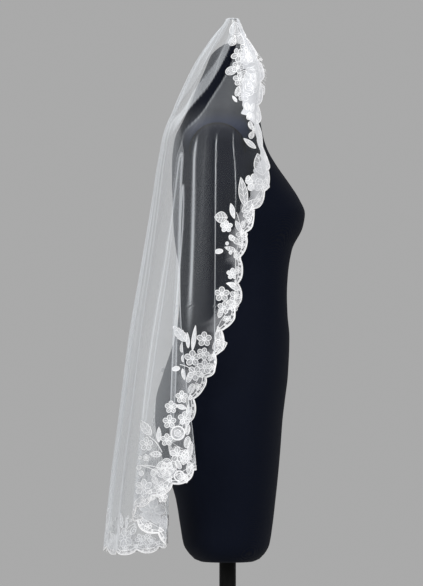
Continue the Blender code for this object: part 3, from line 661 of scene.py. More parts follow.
def makeTulle():
    tops = np.arange(tulle["topGap"], tulle["topEnd"], tulle["topGap"])
    lower = np.arange(tulle["topEnd"], tulle["joinDrop"], tulle["rowGap"])
    drops = np.concatenate([[1e-4], tops, lower, [tulle["joinDrop"]]])
    first = border.drop[0]
    allDrop, allAngle, allAlong, allHighlight = [], [], [], []
    for drop in drops:
        right, left = (180.0, -180.0) if drop <= first else (hemAngle(1, drop), hemAngle(-1, drop))
        angle, along, creaseHighlight = evenRow(drop, float(left), float(right))
        allDrop.append(np.full_like(angle, drop))
        allAngle.append(angle)
        allAlong.append(along)
        allHighlight.append(creaseHighlight)
    angle, along, creaseHighlight = allAngle[-1], allAlong[-1], allHighlight[-1]
    middle = np.argmin(np.abs(border.angle))
    order = np.argsort(border.angle)
    bottom = np.interp(angle, border.angle[order], border.drop[order])
    for share in np.linspace(0, 1, tulle["bottomRows"] + 1)[1:]:
        allDrop.append(tulle["joinDrop"] + (bottom - tulle["joinDrop"]) * share)
        allAngle.append(angle)
        allAlong.append(along)
        allHighlight.append(creaseHighlight)
    drop, angle = np.concatenate(allDrop), np.concatenate(allAngle)
    points = onVeil(drop, angle, np.full(len(drop), tulle["lift"]))
    faces = gridFaces(len(allDrop), tulle["columns"])
    mesh = meshOf("tulle", points, faces, {"creaseHighlight": np.concatenate(allHighlight), "layers": layersAt(drop, angle)},
                  np.column_stack([np.concatenate(allAlong), -drop]))
    piece = addPiece("tulle", welded(mesh, 2e-5), tulleCloth)
    return piece


tullePiece = makeTulle()
print("tulle has", len(tullePiece.data.polygons), "faces")


# The lace is gathered close beside the comb, so its net is thick there
def netLayers(along, share):
    fromComb = np.minimum(along, border.length - along)
    thick = 1 - easeUp(fromComb, edging["thickTo"], edging["thinFrom"])
    return 1 + (edging["thickNet"] - 1) * thick - easeUp(share, edging["fadeFrom"], 1) * (1 - thick)


def makeNet(name, start, end):
    count = int((end - start) / edging["step"])
    along = np.linspace(start, end, count + 1)
    outer, inner = scallopEdge(along), leafyEdge(along, border.length)
    share = np.linspace(0, 1, edging["rows"])[:, None]
    inward = outer + (inner - outer) * share
    alongs = np.broadcast_to(along, inward.shape)
    drop, angle = border.place(alongs.ravel(), inward.ravel())
    points = onVeil(drop, angle, np.full(len(drop), edging["lift"]))
    faces = gridFaces(edging["rows"], len(along))
    mesh = meshOf(name, points, faces, {"creaseHighlight": np.zeros(len(drop)), "layers": netLayers(alongs, share).ravel()},
                  np.column_stack([alongs.ravel(), inward.ravel()]))
    return addPiece(name, mesh, laceCloth)


joins = (0, edging["piece"], border.length - edging["piece"], border.length)
nets = {}
for label, start, end in zip(("Right", "Hem", "Left"), joins, joins[1:]):
    nets[label] = makeNet("net" + label, start, end)
print("nets made")

# Motifs of the lace, each drawn flat: cords are lines of points, fills are closed outlines
Cord = namedtuple("Cord", "points closed radius")
Fill = namedtuple("Fill", "points dome cover")
thread = {"fine": 0.00048, "thick": 0.00070, "border": 0.0014, "step": 0.0021, "sides": 4, "sink": 0.6}


def oval(centre, long, wide, turn=0.0, count=None):
    if count is None:
        count = max(7, int(math.pi * (long + wide) / thread["step"]))
    around = np.linspace(0, 2 * math.pi, count, endpoint=False)
    across, up = wide * np.sin(around), long * np.cos(around)
    lean = math.radians(turn)
    return np.column_stack([
        centre[0] + across * math.cos(lean) + up * math.sin(lean),
        centre[1] - across * math.sin(lean) + up * math.cos(lean),
    ])


def lineOf(first, last, bend=0.0, count=None):
    first, last = np.array(first, float), np.array(last, float)
    length = np.linalg.norm(last - first)
    if count is None:
        count = max(2, int(length / thread["step"]) + 1)
    share = np.linspace(0, 1, count)[:, None]
    side = np.array([last[1] - first[1], first[0] - last[0]])
    return first + (last - first) * share + side * bend * np.sin(math.pi * share)


def flower(size, petals=5, cover=0.45, turn=0.0):
    cords, fills = [], []
    half = 0.36 * 5 / petals
    for number in range(petals):
        way = turn + 360 * number / petals
        lean = math.radians(way)
        centre = (0.60 * size * math.sin(lean), 0.60 * size * math.cos(lean))
        petal = oval(centre, 0.40 * size, half * size, way)
        cords.append(Cord(petal, True, thread["thick"]))
        fills.append(Fill(petal, 0.0006, cover))
        tip = (0.74 * size * math.sin(lean), 0.74 * size * math.cos(lean))
        root = (0.26 * size * math.sin(lean), 0.26 * size * math.cos(lean))
        cords.append(Cord(lineOf(root, tip, count=3), False, thread["fine"]))
    eye = oval((0, 0), 0.20 * size, 0.20 * size)
    cords.append(Cord(eye, True, thread["thick"]))
    fills.append(Fill(eye, 0.0012, 0.92))
    return cords, fills


def rose(size, cover=0.5, turn=0.0):
    cords, fills = [], []
    for ring, (petals, reach, long, wide) in enumerate(((6, 0.68, 0.32, 0.42), (5, 0.40, 0.26, 0.32))):
        for number in range(petals):
            way = turn + 360 * (number + ring / 2) / petals
            lean = math.radians(way)
            centre = (reach * size * math.sin(lean), reach * size * math.cos(lean))
            petal = oval(centre, long * size, wide * size, way + 14)
            cords.append(Cord(petal, True, thread["thick"]))
            cords.append(Cord(oval(centre, 0.55 * long * size, 0.60 * wide * size, way + 14), True, thread["fine"]))
            fills.append(Fill(petal, 0.0010, cover))
    around = np.linspace(0, 4.5 * math.pi, 26)
    coil = 0.02 * size + 0.24 * size * around / around[-1]
    cords.append(Cord(np.column_stack([coil * np.sin(around), coil * np.cos(around)]), False, thread["thick"]))
    fills.append(Fill(oval((0, 0), 0.2 * size, 0.2 * size), 0.0016, cover))
    return cords, fills


def leafOutline(length, width, teeth=0):
    share = np.linspace(0, 1, max(6, int(length / thread["step"]) + 1))
    half = 0.5 * width * np.sin(math.pi * share**0.85) ** 0.9
    if teeth:
        half = half * (1 + 0.28 * (share * teeth % 1 - 0.5))
    right = np.column_stack([half, share * length])
    left = np.column_stack([-half, share * length])[::-1][1:-1]
    return np.concatenate([right, left])


def leaf(length, width, cover=0.35, turn=0.0, teeth=0, veins=4):
    outline = leafOutline(length, width, teeth)
    cords = [Cord(outline, True, thread["thick"]), Cord(lineOf((0, 0), (0, 0.9 * length)), False, thread["fine"])]
    for number in range(veins):
        root = (number + 0.6) / (veins + 0.8)
        reach = 0.40 * width * math.sin(math.pi * min(root + 0.1, 1) ** 0.85)
        for hand in (-1, 1):
            tip = (hand * reach, min(root + 0.14, 0.97) * length)
            cords.append(Cord(lineOf((0, root * length), tip, count=2), False, thread["fine"]))
    return turned((cords, [Fill(outline, 0.0007, cover)]), turn)


def berry(length, width, turn=0.0):
    outline = oval((0, 0), length / 2, width / 2)
    return turned(([Cord(outline, True, thread["thick"])], [Fill(outline, 0.0012, 0.95)]), turn)


def ringOf(size, cover=0.3):
    outer = oval((0, 0), size, size)
    return [Cord(outer, True, thread["border"]), Cord(oval((0, 0), 0.5 * size, 0.5 * size), True, thread["thick"])], [
        Fill(outer, 0.0004, cover)]


def petal(length, width, cover=0.4, turn=0.0):
    outline = oval((0, 0), length / 2, width / 2)
    cords = [Cord(outline, True, thread["thick"])]
    cords.append(Cord(oval((0, 0), 0.36 * length, 0.34 * width), True, thread["fine"]))
    for number in range(-1, 2):
        x = number * 0.16 * width
        cords.append(Cord(lineOf((x, -0.25 * length), (1.4 * x, 0.25 * length), count=3), False, thread["fine"]))
    return turned((cords, [Fill(outline, 0.0007, cover)]), turn)


def turned(shapes, turn, centre=(0, 0)):
    lean = math.radians(turn)
    spin = np.array([[math.cos(lean), -math.sin(lean)], [math.sin(lean), math.cos(lean)]])
    cords, fills = shapes
    return ([cord._replace(points=cord.points @ spin + centre) for cord in cords],
            [fill._replace(points=fill.points @ spin + centre) for fill in fills])


def motifShapes(kind, long, wide, turn):
    if kind == "flower":
        return flower(long, 5, 0.50, turn)
    if kind == "solidFlower":
        return flower(long, 5, 0.88, turn)
    if kind == "daisy":
        return flower(long, 6, 0.85, turn)
    if kind == "rose":
        return rose(long, 0.5, turn)
    if kind == "leaf":
        return leaf(long, wide, 0.55, turn)
    if kind == "solidLeaf":
        return leaf(long, wide, 0.92, turn, veins=2)
    if kind == "bud":
        return leaf(long, wide, 0.75, turn, teeth=5, veins=3)
    if kind == "berry":
        return berry(long, wide, turn)
    if kind == "petal":
        return petal(long, wide, 0.45, turn)
    if kind == "ring":
        return ringOf(long)
    return [Cord(lineOf((0, 0), (0, long), wide), False, thread["thick"])], []


# What is drawn on each length of edging, gathered here before it is laid on the cloth
drawn = {label: {"cords": [], "fills": []} for label in nets}


def pieceAt(along):
    along = along % border.length
    return "Right" if along < joins[1] else "Hem" if along < joins[2] else "Left"


def draw(label, shapes, placer):
    cords, fills = shapes
    for cord in cords:
        drawn[label]["cords"].append((*placer(cord.points), cord.closed, cord.radius))
    for fill in fills:
        drawn[label]["fills"].append((*placer(fill.points), fill.dome, fill.cover))


def onBorder(along, inward):
    return lambda points: border.place((along + points[:, 0]) % border.length, inward + points[:, 1])


def searchGrid():
    drop, angle = np.meshgrid(np.arange(0.03, 0.995, 0.002), np.arange(0, 179, 0.25), indexing="ij")
    drop, angle = drop.ravel(), angle.ravel()
    points = veilPoint(drop, angle)
    return drop, angle, points


gridDrop, gridAngle, gridPoints = searchGrid()


def placeInPicture(x, y, under=False):
    across = -(x - picture["poleX"]) * picture["metresAPixel"]
    height = picture["formBottom"] + (picture["formBottomY"] - y) * picture["metresAPixel"]
    gaps = np.hypot(gridPoints[:, 1] - across, gridPoints[:, 2] - height)
    near = np.nonzero(gaps < max(0.003, gaps.min() + 0.001))[0]
    order = gridPoints[near, 0]
    best = near[np.argmax(order) if under else np.argmin(order)]
    same = near[np.abs(gridPoints[near, 0] - gridPoints[best, 0]) < 0.006]
    best = same[np.argmin(gaps[same])]
    return gridDrop[best], gridAngle[best]


def linearPlacer(drop, angle):
    stepDrop, stepAngle = 0.002, 0.6
    byDrop = (veilPoint(np.array([drop + stepDrop]), np.array([angle]))
              - veilPoint(np.array([drop - stepDrop]), np.array([angle])))[0] / (2 * stepDrop)
    byAngle = (veilPoint(np.array([drop]), np.array([angle + stepAngle]))
               - veilPoint(np.array([drop]), np.array([angle - stepAngle])))[0] / (2 * stepAngle)
    basis = np.column_stack([byDrop, byAngle])
    flat, _ = np.linalg.qr(basis)
    seen = np.array([-flat[1], flat[2]])  # picture right is -Y, picture up is +Z
    left, size, right = np.linalg.svd(seen)
    back = right.T @ np.diag(1 / np.maximum(size, 1 / picture["stretch"])) @ left.T
    steps = np.linalg.pinv(basis) @ flat @ back

    def placer(points):
        moved = points @ steps.T
        return drop + moved[:, 0], angle + moved[:, 1]
    return placer


# The part of a level row of the cloth that runs one way in the picture
def branchOf(seen, middle):
    steps = np.diff(seen)
    rising = steps[middle] > 0
    first = last = middle
    while first > 0 and (steps[first - 1] > 0) == rising:
        first -= 1
    while last < len(steps) - 1 and (steps[last + 1] > 0) == rising:
        last += 1
    return slice(first, last + 2)


def picturePlacer(drop, angle):
    if drop < picture["flatFrom"]:
        return linearPlacer(drop, angle)
    rows = drop + np.linspace(-picture["reach"], picture["reach"], picture["rows"])
    angles = angle + np.linspace(-picture["around"], picture["around"], picture["columns"])
    points = veilPoint(*np.meshgrid(rows, angles, indexing="ij"))
    tables = []
    for row in points:
        branch = branchOf(-row[:, 1], len(angles) // 2)
        order = np.argsort(-row[branch, 1])
        tables.append((-row[branch, 1][order], angles[branch][order]))
    centre = veilPoint(np.array([drop]), np.array([angle]))[0]
    heights = columnOf(veilSections, "height")[::-1]

    def placer(shape):
        x, z = shape[:, 0] - centre[1], shape[:, 1] + centre[2]
        at = np.interp(z, heights, columnOf(veilSections, "drop")[::-1])
        turns = np.array([np.interp(x, *table) for table in tables])
        place = np.clip((at - rows[0]) / (rows[1] - rows[0]), 0, len(rows) - 1.001)
        lower = place.astype(int)
        share = place - lower
        here = np.arange(len(at))
        return at, turns[lower, here] * (1 - share) + turns[lower + 1, here] * share
    return placer


def mirrored(placer):
    def other(points):
        drop, angle = placer(points)
        return drop + hem["leftShift"] * easeUp(drop, 0.3, 0.6), -angle
    return other


# Motifs of the right front: kind, pixel in the photograph, length and width in millimetres, turn from upright
Motif = namedtuple("Motif", "kind x y long wide turn under", defaults=[0, 0, 0, False])
frontMotifs = [Motif(*row) for row in (
    # peak over the comb and the lace beside it
    ("petal", 236, 30, 26, 16, -8), ("petal", 233, 42, 18, 12, 30), ("petal", 241, 40, 22, 13, -20),
    ("flower", 246, 49, 12, 0, 10), ("flower", 239, 56, 13, 0, 40), ("rose", 246, 58, 13, 0, 0),
    ("petal", 253, 58, 20, 12, -30), ("petal", 231, 72, 20, 14, 60), ("flower", 238, 68, 12, 0, 20),
    ("rose", 250, 83, 25, 0, 10), ("flower", 240, 80, 12, 0, 0), ("petal", 238, 92, 18, 10, 20),
    ("flower", 243, 97, 10, 0, 0), ("petal", 262, 90, 20, 12, -10), ("solidLeaf", 237, 103, 14, 5, -35),
    ("petal", 256, 68, 14, 8, 60), ("bud", 259, 60, 12, 6, 80),
    # narrow trim down to the chest
    ("petal", 247, 108, 14, 9, -15), ("petal", 253, 109, 15, 8, 15), ("petal", 249, 117, 14, 8, 20),
    ("petal", 254, 119, 15, 7, -12), ("petal", 251, 127, 15, 8, -20), ("petal", 255, 131, 14, 7, 15),
    ("petal", 252, 137, 13, 9, 30), ("solidLeaf", 256, 150, 28, 9, -52), ("petal", 260, 143, 18, 9, -15),
    ("leaf", 263, 177, 40, 23, -14), ("petal", 266, 160, 16, 7, -15),
    # cluster and leaves over the bust
    ("solidFlower", 254, 184, 16, 0, 0), ("solidFlower", 263, 187, 12, 0, 30), ("berry", 248, 180, 10, 7, 30),
    ("leaf", 245, 208, 52, 15, -8), ("leaf", 242, 213, 38, 16, 52), ("leaf", 243, 218, 24, 12, 62),
    ("solidLeaf", 234, 220, 28, 9, -14), ("leaf", 227, 219, 23, 20, -88), ("solidFlower", 226, 228, 10.5, 0, 0),
    ("solidLeaf", 236, 222, 26, 8, 155), ("stem", 242, 250, 66, 0.05, -8), ("petal", 243, 225, 12, 7, 0),
    ("flower", 242, 237, 10, 0, 0), ("berry", 231, 239, 11, 8, -30), ("berry", 227, 244, 6, 5, 0),
    ("leaf", 240, 246, 24, 9, -50), ("leaf", 236, 252, 22, 8, -70), ("berry", 219, 252, 14, 8, 80),
    ("berry", 230, 253, 7, 5, 0), ("berry", 235, 256, 12, 6, 15), ("leaf", 240, 262, 22, 8, -20),
    # the straight stretch
    ("solidFlower", 232, 274, 10, 0, 0), ("solidLeaf", 239, 290, 24, 9, -62), ("solidLeaf", 236, 285, 18, 7, -80),
    ("flower", 222, 294, 13, 0, 0), ("flower", 235, 297, 11, 0, 20), ("flower", 224, 308, 11, 0, 10),
    ("flower", 234, 307, 9, 0, 0), ("leaf", 226, 302, 16, 8, 90), ("leaf", 219, 318, 18, 8, 20),
    # hip spray
    ("flower", 204, 339, 13, 0, 0), ("leaf", 212, 348, 28, 22, 70), ("petal", 219, 336, 20, 14, 10),
    ("flower", 203, 353, 11, 0, 20), ("flower", 204, 367, 13, 0, 0), ("petal", 211, 357, 16, 9, 50),
    ("bud", 186, 341, 34, 15, -38), ("solidLeaf", 192, 350, 45, 7, 7), ("solidLeaf", 188, 348, 28, 6, -4),
    ("berry", 184, 346, 18, 8, 10), ("berry", 184, 358, 12, 7, 0), ("berry", 176, 368, 14, 8, 80),
    ("solidLeaf", 183, 368, 20, 7, 170), ("flower", 192, 358, 14, 0, 0), ("flower", 195, 372, 13, 0, 30),
    ("stem", 195, 372, 30, 0.1, -60), ("petal", 189, 376, 18, 9, 20),
    # thigh
    ("flower", 183, 395, 11, 0, 0), ("petal", 191, 388, 18, 10, 20), ("petal", 190, 400, 18, 9, 0),
    ("solidLeaf", 187, 407, 20, 8, -75), ("solidLeaf", 188, 412, 18, 7, 10), ("flower", 186, 417, 12, 0, 0),
    ("flower", 172, 406, 11, 0, 0), ("flower", 171, 420, 12, 0, 0), ("ring", 178, 431, 12, 0, 0),
    ("petal", 189, 428, 18, 8, 10), ("flower", 178, 452, 14, 0, 0), ("leaf", 184, 462, 28, 14, 10),
    ("flower", 168, 438, 11, 0, 0), ("petal", 190, 447, 26, 10, 5), ("ring", 181, 473, 9, 0, 0),
    ("petal", 186, 475, 16, 7, 0), ("petal", 188, 440, 20, 11, 12), ("solidFlower", 187, 455, 10, 0, 15),
    ("petal", 190, 466, 20, 10, 4), ("petal", 180, 462, 16, 9, -30),
    # bottom spray
    ("bud", 152, 433, 34, 15, -40), ("solidLeaf", 160, 440, 27, 8, 0), ("stem", 163, 450, 36, 0.08, -40),
    ("flower", 147, 442, 12, 0, 0), ("leaf", 162, 452, 22, 10, -88), ("flower", 147, 455, 6, 0, 0),
    ("berry", 140.5, 456, 6, 6, 0), ("berry", 138.5, 465, 8, 8, 0), ("berry", 142, 471, 9, 8, 0),
    ("stem", 160, 466, 40, 0.06, -85), ("stem", 158, 470, 36, 0.05, -70), ("rose", 167, 467, 19, 0, 0),
    ("petal", 155, 470, 14, 10, 30), ("petal", 156, 478, 14, 10, -30), ("daisy", 145, 486, 16, 0, 0),
    ("flower", 162, 485, 12, 0, 0), ("flower", 164, 494, 9, 0, 0), ("petal", 152, 494, 16, 9, 60),
    # layer below
    ("solidFlower", 152, 509, 24, 0, 8, True), ("solidFlower", 164, 520, 12, 0, 0, True), ("petal", 141, 515, 16, 10, 20, True),
    ("petal", 162, 533, 18, 8, -50, True), ("flower", 145, 524, 9, 0, 0, True), ("leaf", 163, 507, 18, 9, 0, True),
)]


def drawFront():
    for motif in frontMotifs:
        drop, angle = placeInPicture(motif.x, motif.y, motif.under)
        shapes = motifShapes(motif.kind, motif.long / 1000, motif.wide if motif.kind == "stem" else motif.wide / 1000, 0)
        shapes = turned(shapes, motif.turn)
        x, y = layOut(drop, angle)
        nearest = np.argmin(np.hypot(border.x - x, border.y - y))
        label = pieceAt(border.along[nearest])
        placer = picturePlacer(drop, angle)
        draw(label, shapes, placer)
        draw({"Right": "Left", "Left": "Right", "Hem": "Hem"}[label], shapes, mirrored(placer))


def drawBorders():
    count = int(border.length / edging["pitch"])
    for label, start, end in zip(nets, joins, joins[1:]):
        along = np.arange(start, end, 0.002)
        for inward, radius in ((0.0004, thread["border"]), (0.0026, thread["thick"]), (0.0064, thread["thick"])):
            edge = scallopEdge(along)
            if inward > 0.005:
                edge = edge * 0.8
            drop, angle = border.place(along, edge + inward)
            drawn[label]["cords"].append((drop, angle, False, radius))
        drop, angle = border.place(along, leafyEdge(along, border.length) * 0.0 + 0.0085)
        drawn[label]["cords"].append((drop, angle, False, thread["fine"]))
        edge = scallopEdge(along)
        outline = np.concatenate([np.column_stack([along, edge + 0.0002]), np.column_stack([along, edge + 0.003])[::-1]])
    for number in range(count):
        middle = (number + 0.5) * edging["pitch"]
        notch = number * edging["pitch"]
        label = pieceAt(middle)
        draw(label, flower(0.0068, 5, 0.6, 20 * number), onBorder(middle, 0.0012))
        draw(label, leaf(0.011, 0.0055, 0.6, -58, veins=0), onBorder(notch + 0.004, 0.0040))
        draw(label, leaf(0.011, 0.0055, 0.6, 58, veins=0), onBorder(notch - 0.004, 0.0040))
        draw(label, berry(0.0035, 0.0035), onBorder(notch + 0.0115, -0.002))
        draw(label, berry(0.0035, 0.0035), onBorder(notch - 0.0115, -0.002))


def drawHem():
    repeat = edging["repeat"] * edging["pitch"]
    for number in range(int(border.length / repeat)):
        middle = (number + 0.5) * repeat
        label = pieceAt(middle)
        turn = np.interp(middle, border.along, border.angle)
        if label == "Hem" and abs(turn) < 45:
            draw(label, flower(0.019, 5, 0.6, 15), onBorder(middle, 0.024))
            for shapes, along, inward in (
                (flower(0.012, 5, 0.5, 10), -0.036, 0.018),
                (flower(0.012, 6, 0.6, 0), 0.036, 0.018),
                (leaf(0.026, 0.011, 0.4, -50), -0.014, 0.030),
                (leaf(0.026, 0.011, 0.4, 45), 0.014, 0.030),
                (leaf(0.022, 0.008, 0.9, -8, veins=2), -0.004, 0.042),
                (leaf(0.030, 0.013, 0.75, 20, teeth=5), 0.008, 0.042),
                (leaf(0.020, 0.009, 0.4, -65), -0.044, 0.020),
                (leaf(0.020, 0.009, 0.4, 65), 0.044, 0.020),
                (flower(0.009, 5, 0.6), -0.058, 0.014),
                (flower(0.009, 5, 0.6), 0.058, 0.014),
                (berry(0.006, 0.006), -0.022, 0.058),
                (berry(0.006, 0.006), -0.013, 0.064),
                (berry(0.005, 0.005), -0.030, 0.050),
            ):
                draw(label, shapes, onBorder(middle + along, inward))
            draw(label, ([Cord(lineOf((0, 0), (-0.022, 0.024), 0.1), False, thread["fine"]),
                          Cord(lineOf((0, 0), (-0.013, 0.030), 0.1), False, thread["fine"]),
                          Cord(lineOf((0, 0), (-0.030, 0.016), 0.1), False, thread["fine"])], []),
                 onBorder(middle, 0.034))


# Loose threads that stand out from the frayed peak and beside the rose
wisps = {"count": 46, "seed": 7, "reach": 0.15, "out": 0.010, "slant": 0.006, "radius": 0.00030}


def drawWisps():
    chance = np.random.default_rng(wisps["seed"])
    for number in range(wisps["count"]):
        along = wisps["reach"] * chance.random() ** 1.3
        tip = (chance.uniform(-1, 1) * wisps["slant"], -wisps["out"] * chance.uniform(0.4, 1.0))
        line = Cord(lineOf((0, 0.004), tip, chance.uniform(-0.3, 0.3), 5), False, wisps["radius"])
        for label, place in (("Right", along), ("Left", border.length - along)):
            outer = float(scallopEdge(place))
            draw(label, ([line], []), onBorder(place, outer))


drawFront()
drawBorders()
drawHem()
drawWisps()
print("lace drawn:", {label: (len(d["cords"]), len(d["fills"])) for label, d in drawn.items()})


# Cords: lines of points along the cloth, made round by Geometry Nodes
def cordTree(material):
    tree = bpy.data.node_groups.new("laceCord", "GeometryNodeTree")
    tree.interface.new_socket("Geometry", in_out="INPUT", socket_type="NodeSocketGeometry")
    tree.interface.new_socket("Thickness", in_out="INPUT", socket_type="NodeSocketFloat")
    tree.interface.new_socket("Sides", in_out="INPUT", socket_type="NodeSocketInt")
    tree.interface.new_socket("Geometry", in_out="OUTPUT", socket_type="NodeSocketGeometry")
    given = tree.nodes.new("NodeGroupInput")
    result = tree.nodes.new("NodeGroupOutput")
    lines = tree.nodes.new("GeometryNodeMeshToCurve")
    radius = tree.nodes.new("GeometryNodeInputNamedAttribute")
    radius.data_type = "FLOAT"
    radius.inputs["Name"].default_value = "cordRadius"
    scaled = tree.nodes.new("ShaderNodeMath")
    scaled.operation = "MULTIPLY"
    circle = tree.nodes.new("GeometryNodeCurvePrimitiveCircle")
    circle.inputs["Radius"].default_value = 1.0
    tube = tree.nodes.new("GeometryNodeCurveToMesh")
    smooth = tree.nodes.new("GeometryNodeSetShadeSmooth")
    real = tree.nodes.new("GeometryNodeRealizeInstances")
    finish = tree.nodes.new("GeometryNodeSetMaterial")
    finish.inputs["Material"].default_value = material
    links = tree.links
    links.new(given.outputs["Geometry"], lines.inputs["Mesh"])
    links.new(lines.outputs["Curve"], tube.inputs["Curve"])
    links.new(given.outputs["Sides"], circle.inputs["Resolution"])
    links.new(circle.outputs["Curve"], tube.inputs["Profile Curve"])
    links.new(radius.outputs["Attribute"], scaled.inputs[0])
    links.new(given.outputs["Thickness"], scaled.inputs[1])
    links.new(scaled.outputs[0], tube.inputs["Scale"])
    links.new(tube.outputs["Mesh"], smooth.inputs["Geometry"])
    links.new(smooth.outputs["Geometry"], real.inputs["Geometry"])
    links.new(real.outputs["Geometry"], finish.inputs["Geometry"])
    links.new(finish.outputs["Geometry"], result.inputs["Geometry"])
    return tree


def threadFinish(name, color):
    material = plainFinish(name, color, 0.55)
    shader = material.node_tree.nodes["Principled BSDF"]
    shader.inputs["Sheen Weight"].default_value = 0.2
    return material


cordCotton = threadFinish("cordCotton", (0.90, 0.90, 0.91))
addGrain(cordCotton, "ribs", 0.16, 0.4, 0.0004)
cordGroup = cordTree(cordCotton)


def socketId(tree, name):
    return next(item.identifier for item in tree.interface.items_tree
                if item.item_type == "SOCKET" and item.in_out == "INPUT" and item.name == name)


def makeCords(label):
    lines = drawn[label]["cords"]
    drop = np.concatenate([line[0] for line in lines])
    angle = np.concatenate([line[1] for line in lines])
    radius = np.concatenate([np.full(len(line[0]), line[3]) for line in lines])
    points = onVeil(drop, angle, edging["lift"] + thread["sink"] * radius)
    edges, first = [], 0
    for line in lines:
        count = len(line[0])
        numbers = np.arange(first, first + count)
        edges += list(zip(numbers[:-1].tolist(), numbers[1:].tolist()))
        if line[2]:
            edges.append((int(numbers[-1]), int(numbers[0])))
        first += count
    mesh = bpy.data.meshes.new("cords" + label)
    mesh.from_pydata(points.tolist(), edges, [])
    mesh.attributes.new("cordRadius", "FLOAT", "POINT").data.foreach_set("value", radius.astype(np.float32))
    lined = bpy.data.objects.new("cordLines", mesh)
    bpy.context.scene.collection.objects.link(lined)
    modifier = lined.modifiers.new("Round", "NODES")
    modifier.node_group = cordGroup
    modifier[socketId(cordGroup, "Thickness")] = 1.0
    modifier[socketId(cordGroup, "Sides")] = thread["sides"]
    graph = bpy.context.evaluated_depsgraph_get()
    made = bpy.data.meshes.new_from_object(lined.evaluated_get(graph))
    bpy.data.objects.remove(lined)
    made.name = "cords" + label
    piece = bpy.data.objects.new("cords" + label, made)
    bpy.context.scene.collection.objects.link(piece)
    return piece


def stitchedFinish(name, color):
    material = plainFinish(name, color, 0.6)
    tree = material.node_tree
    shader = tree.nodes["Principled BSDF"]
    shader.inputs["Sheen Weight"].default_value = 0.25
    cover = tree.nodes.new("ShaderNodeAttribute")
    cover.attribute_name = "cover"
    tree.links.new(cover.outputs["Fac"], shader.inputs["Alpha"])
    return material


petalSatin = stitchedFinish("petalSatin", (0.70, 0.71, 0.73))
addGrain(petalSatin, "ribs", 0.30, 0.5, 0.0006)


def makePetals(label):
    drops, angles, heights, covers, uvs, faces, first = [], [], [], [], [], [], 0
    for drop, angle, dome, cover in drawn[label]["fills"]:
        count = len(drop)
        middleDrop, middleAngle = drop.mean(), angle.mean()
        for share, rise in ((1.0, 0.0), (0.55, 0.8)):
            drops.append(middleDrop + (drop - middleDrop) * share)
            angles.append(middleAngle + (angle - middleAngle) * share)
            heights.append(np.full(count, edging["lift"] + 0.0003 + dome * rise))
        drops.append([middleDrop])
        angles.append([middleAngle])
        heights.append([edging["lift"] + 0.0003 + dome])
        covers.append(np.full(2 * count + 1, cover))
        ring = np.arange(count)
        after = (ring + 1) % count
        quads = np.column_stack([ring, after, after + count, ring + count]) + first
        tips = np.column_stack([ring + count, after + count, np.full(count, 2 * count)]) + first
        faces += quads.tolist() + tips.tolist()
        first += 2 * count + 1
    drop, angle = np.concatenate(drops), np.concatenate(angles)
    points = onVeil(drop, angle, np.concatenate(heights))
    mesh = bpy.data.meshes.new("petals" + label)
    mesh.from_pydata(points.tolist(), [], faces)
    mesh.attributes.new("cover", "FLOAT", "POINT").data.foreach_set("value", np.concatenate(covers).astype(np.float32))
    mesh.shade_smooth()
    return addPiece("petals" + label, mesh, petalSatin)


laceCords = {label: makeCords(label) for label in nets}
lacePetals = {label: makePetals(label) for label in nets}
for label in nets:
    print(label, "cords", sum(len(face.vertices) - 2 for face in laceCords[label].data.polygons),
          "petals", sum(len(face.vertices) - 2 for face in lacePetals[label].data.polygons))

# The form: rings from the bottom up, with the depth of the body at its back and front and half its width
FormRing = namedtuple("FormRing", "height back front halfWidth")
formRings = [FormRing(*row) for row in (
    (0.6400, 0.0500, -0.0480, 0.112), (0.6440, 0.0600, -0.0575, 0.124), (0.6530, 0.0690, -0.0665, 0.135),
    (0.6690, 0.0790, -0.0750, 0.144), (0.7050, 0.0855, -0.0810, 0.150), (0.7500, 0.0930, -0.0862, 0.156),
    (0.7900, 0.1050, -0.0905, 0.162), (0.8400, 0.1215, -0.0950, 0.169), (0.8940, 0.1305, -0.0990, 0.172),
    (0.9300, 0.1290, -0.1033, 0.171), (0.9750, 0.1163, -0.1087, 0.163), (1.0430, 0.0950, -0.1114, 0.143),
    (1.0830, 0.0880, -0.1080, 0.132), (1.1190, 0.0857, -0.1069, 0.126), (1.1550, 0.0860, -0.1087, 0.126),
    (1.2000, 0.0930, -0.1160, 0.133), (1.2410, 0.0974, -0.1355, 0.143), (1.2650, 0.0983, -0.1393, 0.149),
    (1.2900, 0.0992, -0.1294, 0.153), (1.3170, 0.1001, -0.1123, 0.157), (1.3530, 0.1001, -0.0871, 0.166),
    (1.3800, 0.0983, -0.0718, 0.176), (1.4010, 0.0947, -0.0646, 0.184), (1.4140, 0.0893, -0.0619, 0.181),
    (1.4240, 0.0840, -0.0600, 0.166), (1.4370, 0.0775, -0.0575, 0.132), (1.4500, 0.0720, -0.0550, 0.096),
    (1.4610, 0.0677, -0.0538, 0.074), (1.4880, 0.0569, -0.0511, 0.059), (1.5240, 0.0407, -0.0502, 0.054),
    (1.5510, 0.0290, -0.0412, 0.049), (1.5634, 0.0155, -0.0340, 0.042), (1.5695, 0.0060, -0.0250, 0.034),
    (1.5710, -0.0010, -0.0170, 0.028),
)]
form = {"sides": 120, "step": 0.005, "squareness": 0.06}
jersey = plainFinish("navyJersey", (0.0016, 0.0030, 0.0085), 0.9)
jersey.node_tree.nodes["Principled BSDF"].inputs["Specular IOR Level"].default_value = 0.10
addGrain(jersey, "knit", 0.5, 0.35, 0.0004)

# The armhole seam: a dark line round the plate that closes each shoulder. Outside it, above its lowest point and
# towards the sides, the jersey is painted lighter: painted light for the haze that the veil spreads over the shoulders
armhole = {"y": 0.0182, "z": 1.3753, "radius": 0.0492, "line": 0.0016, "lowest": 1.372,
           "ramp": 0.040, "side": 0.105, "sideRamp": 0.045, "paintedLight": 2.2}


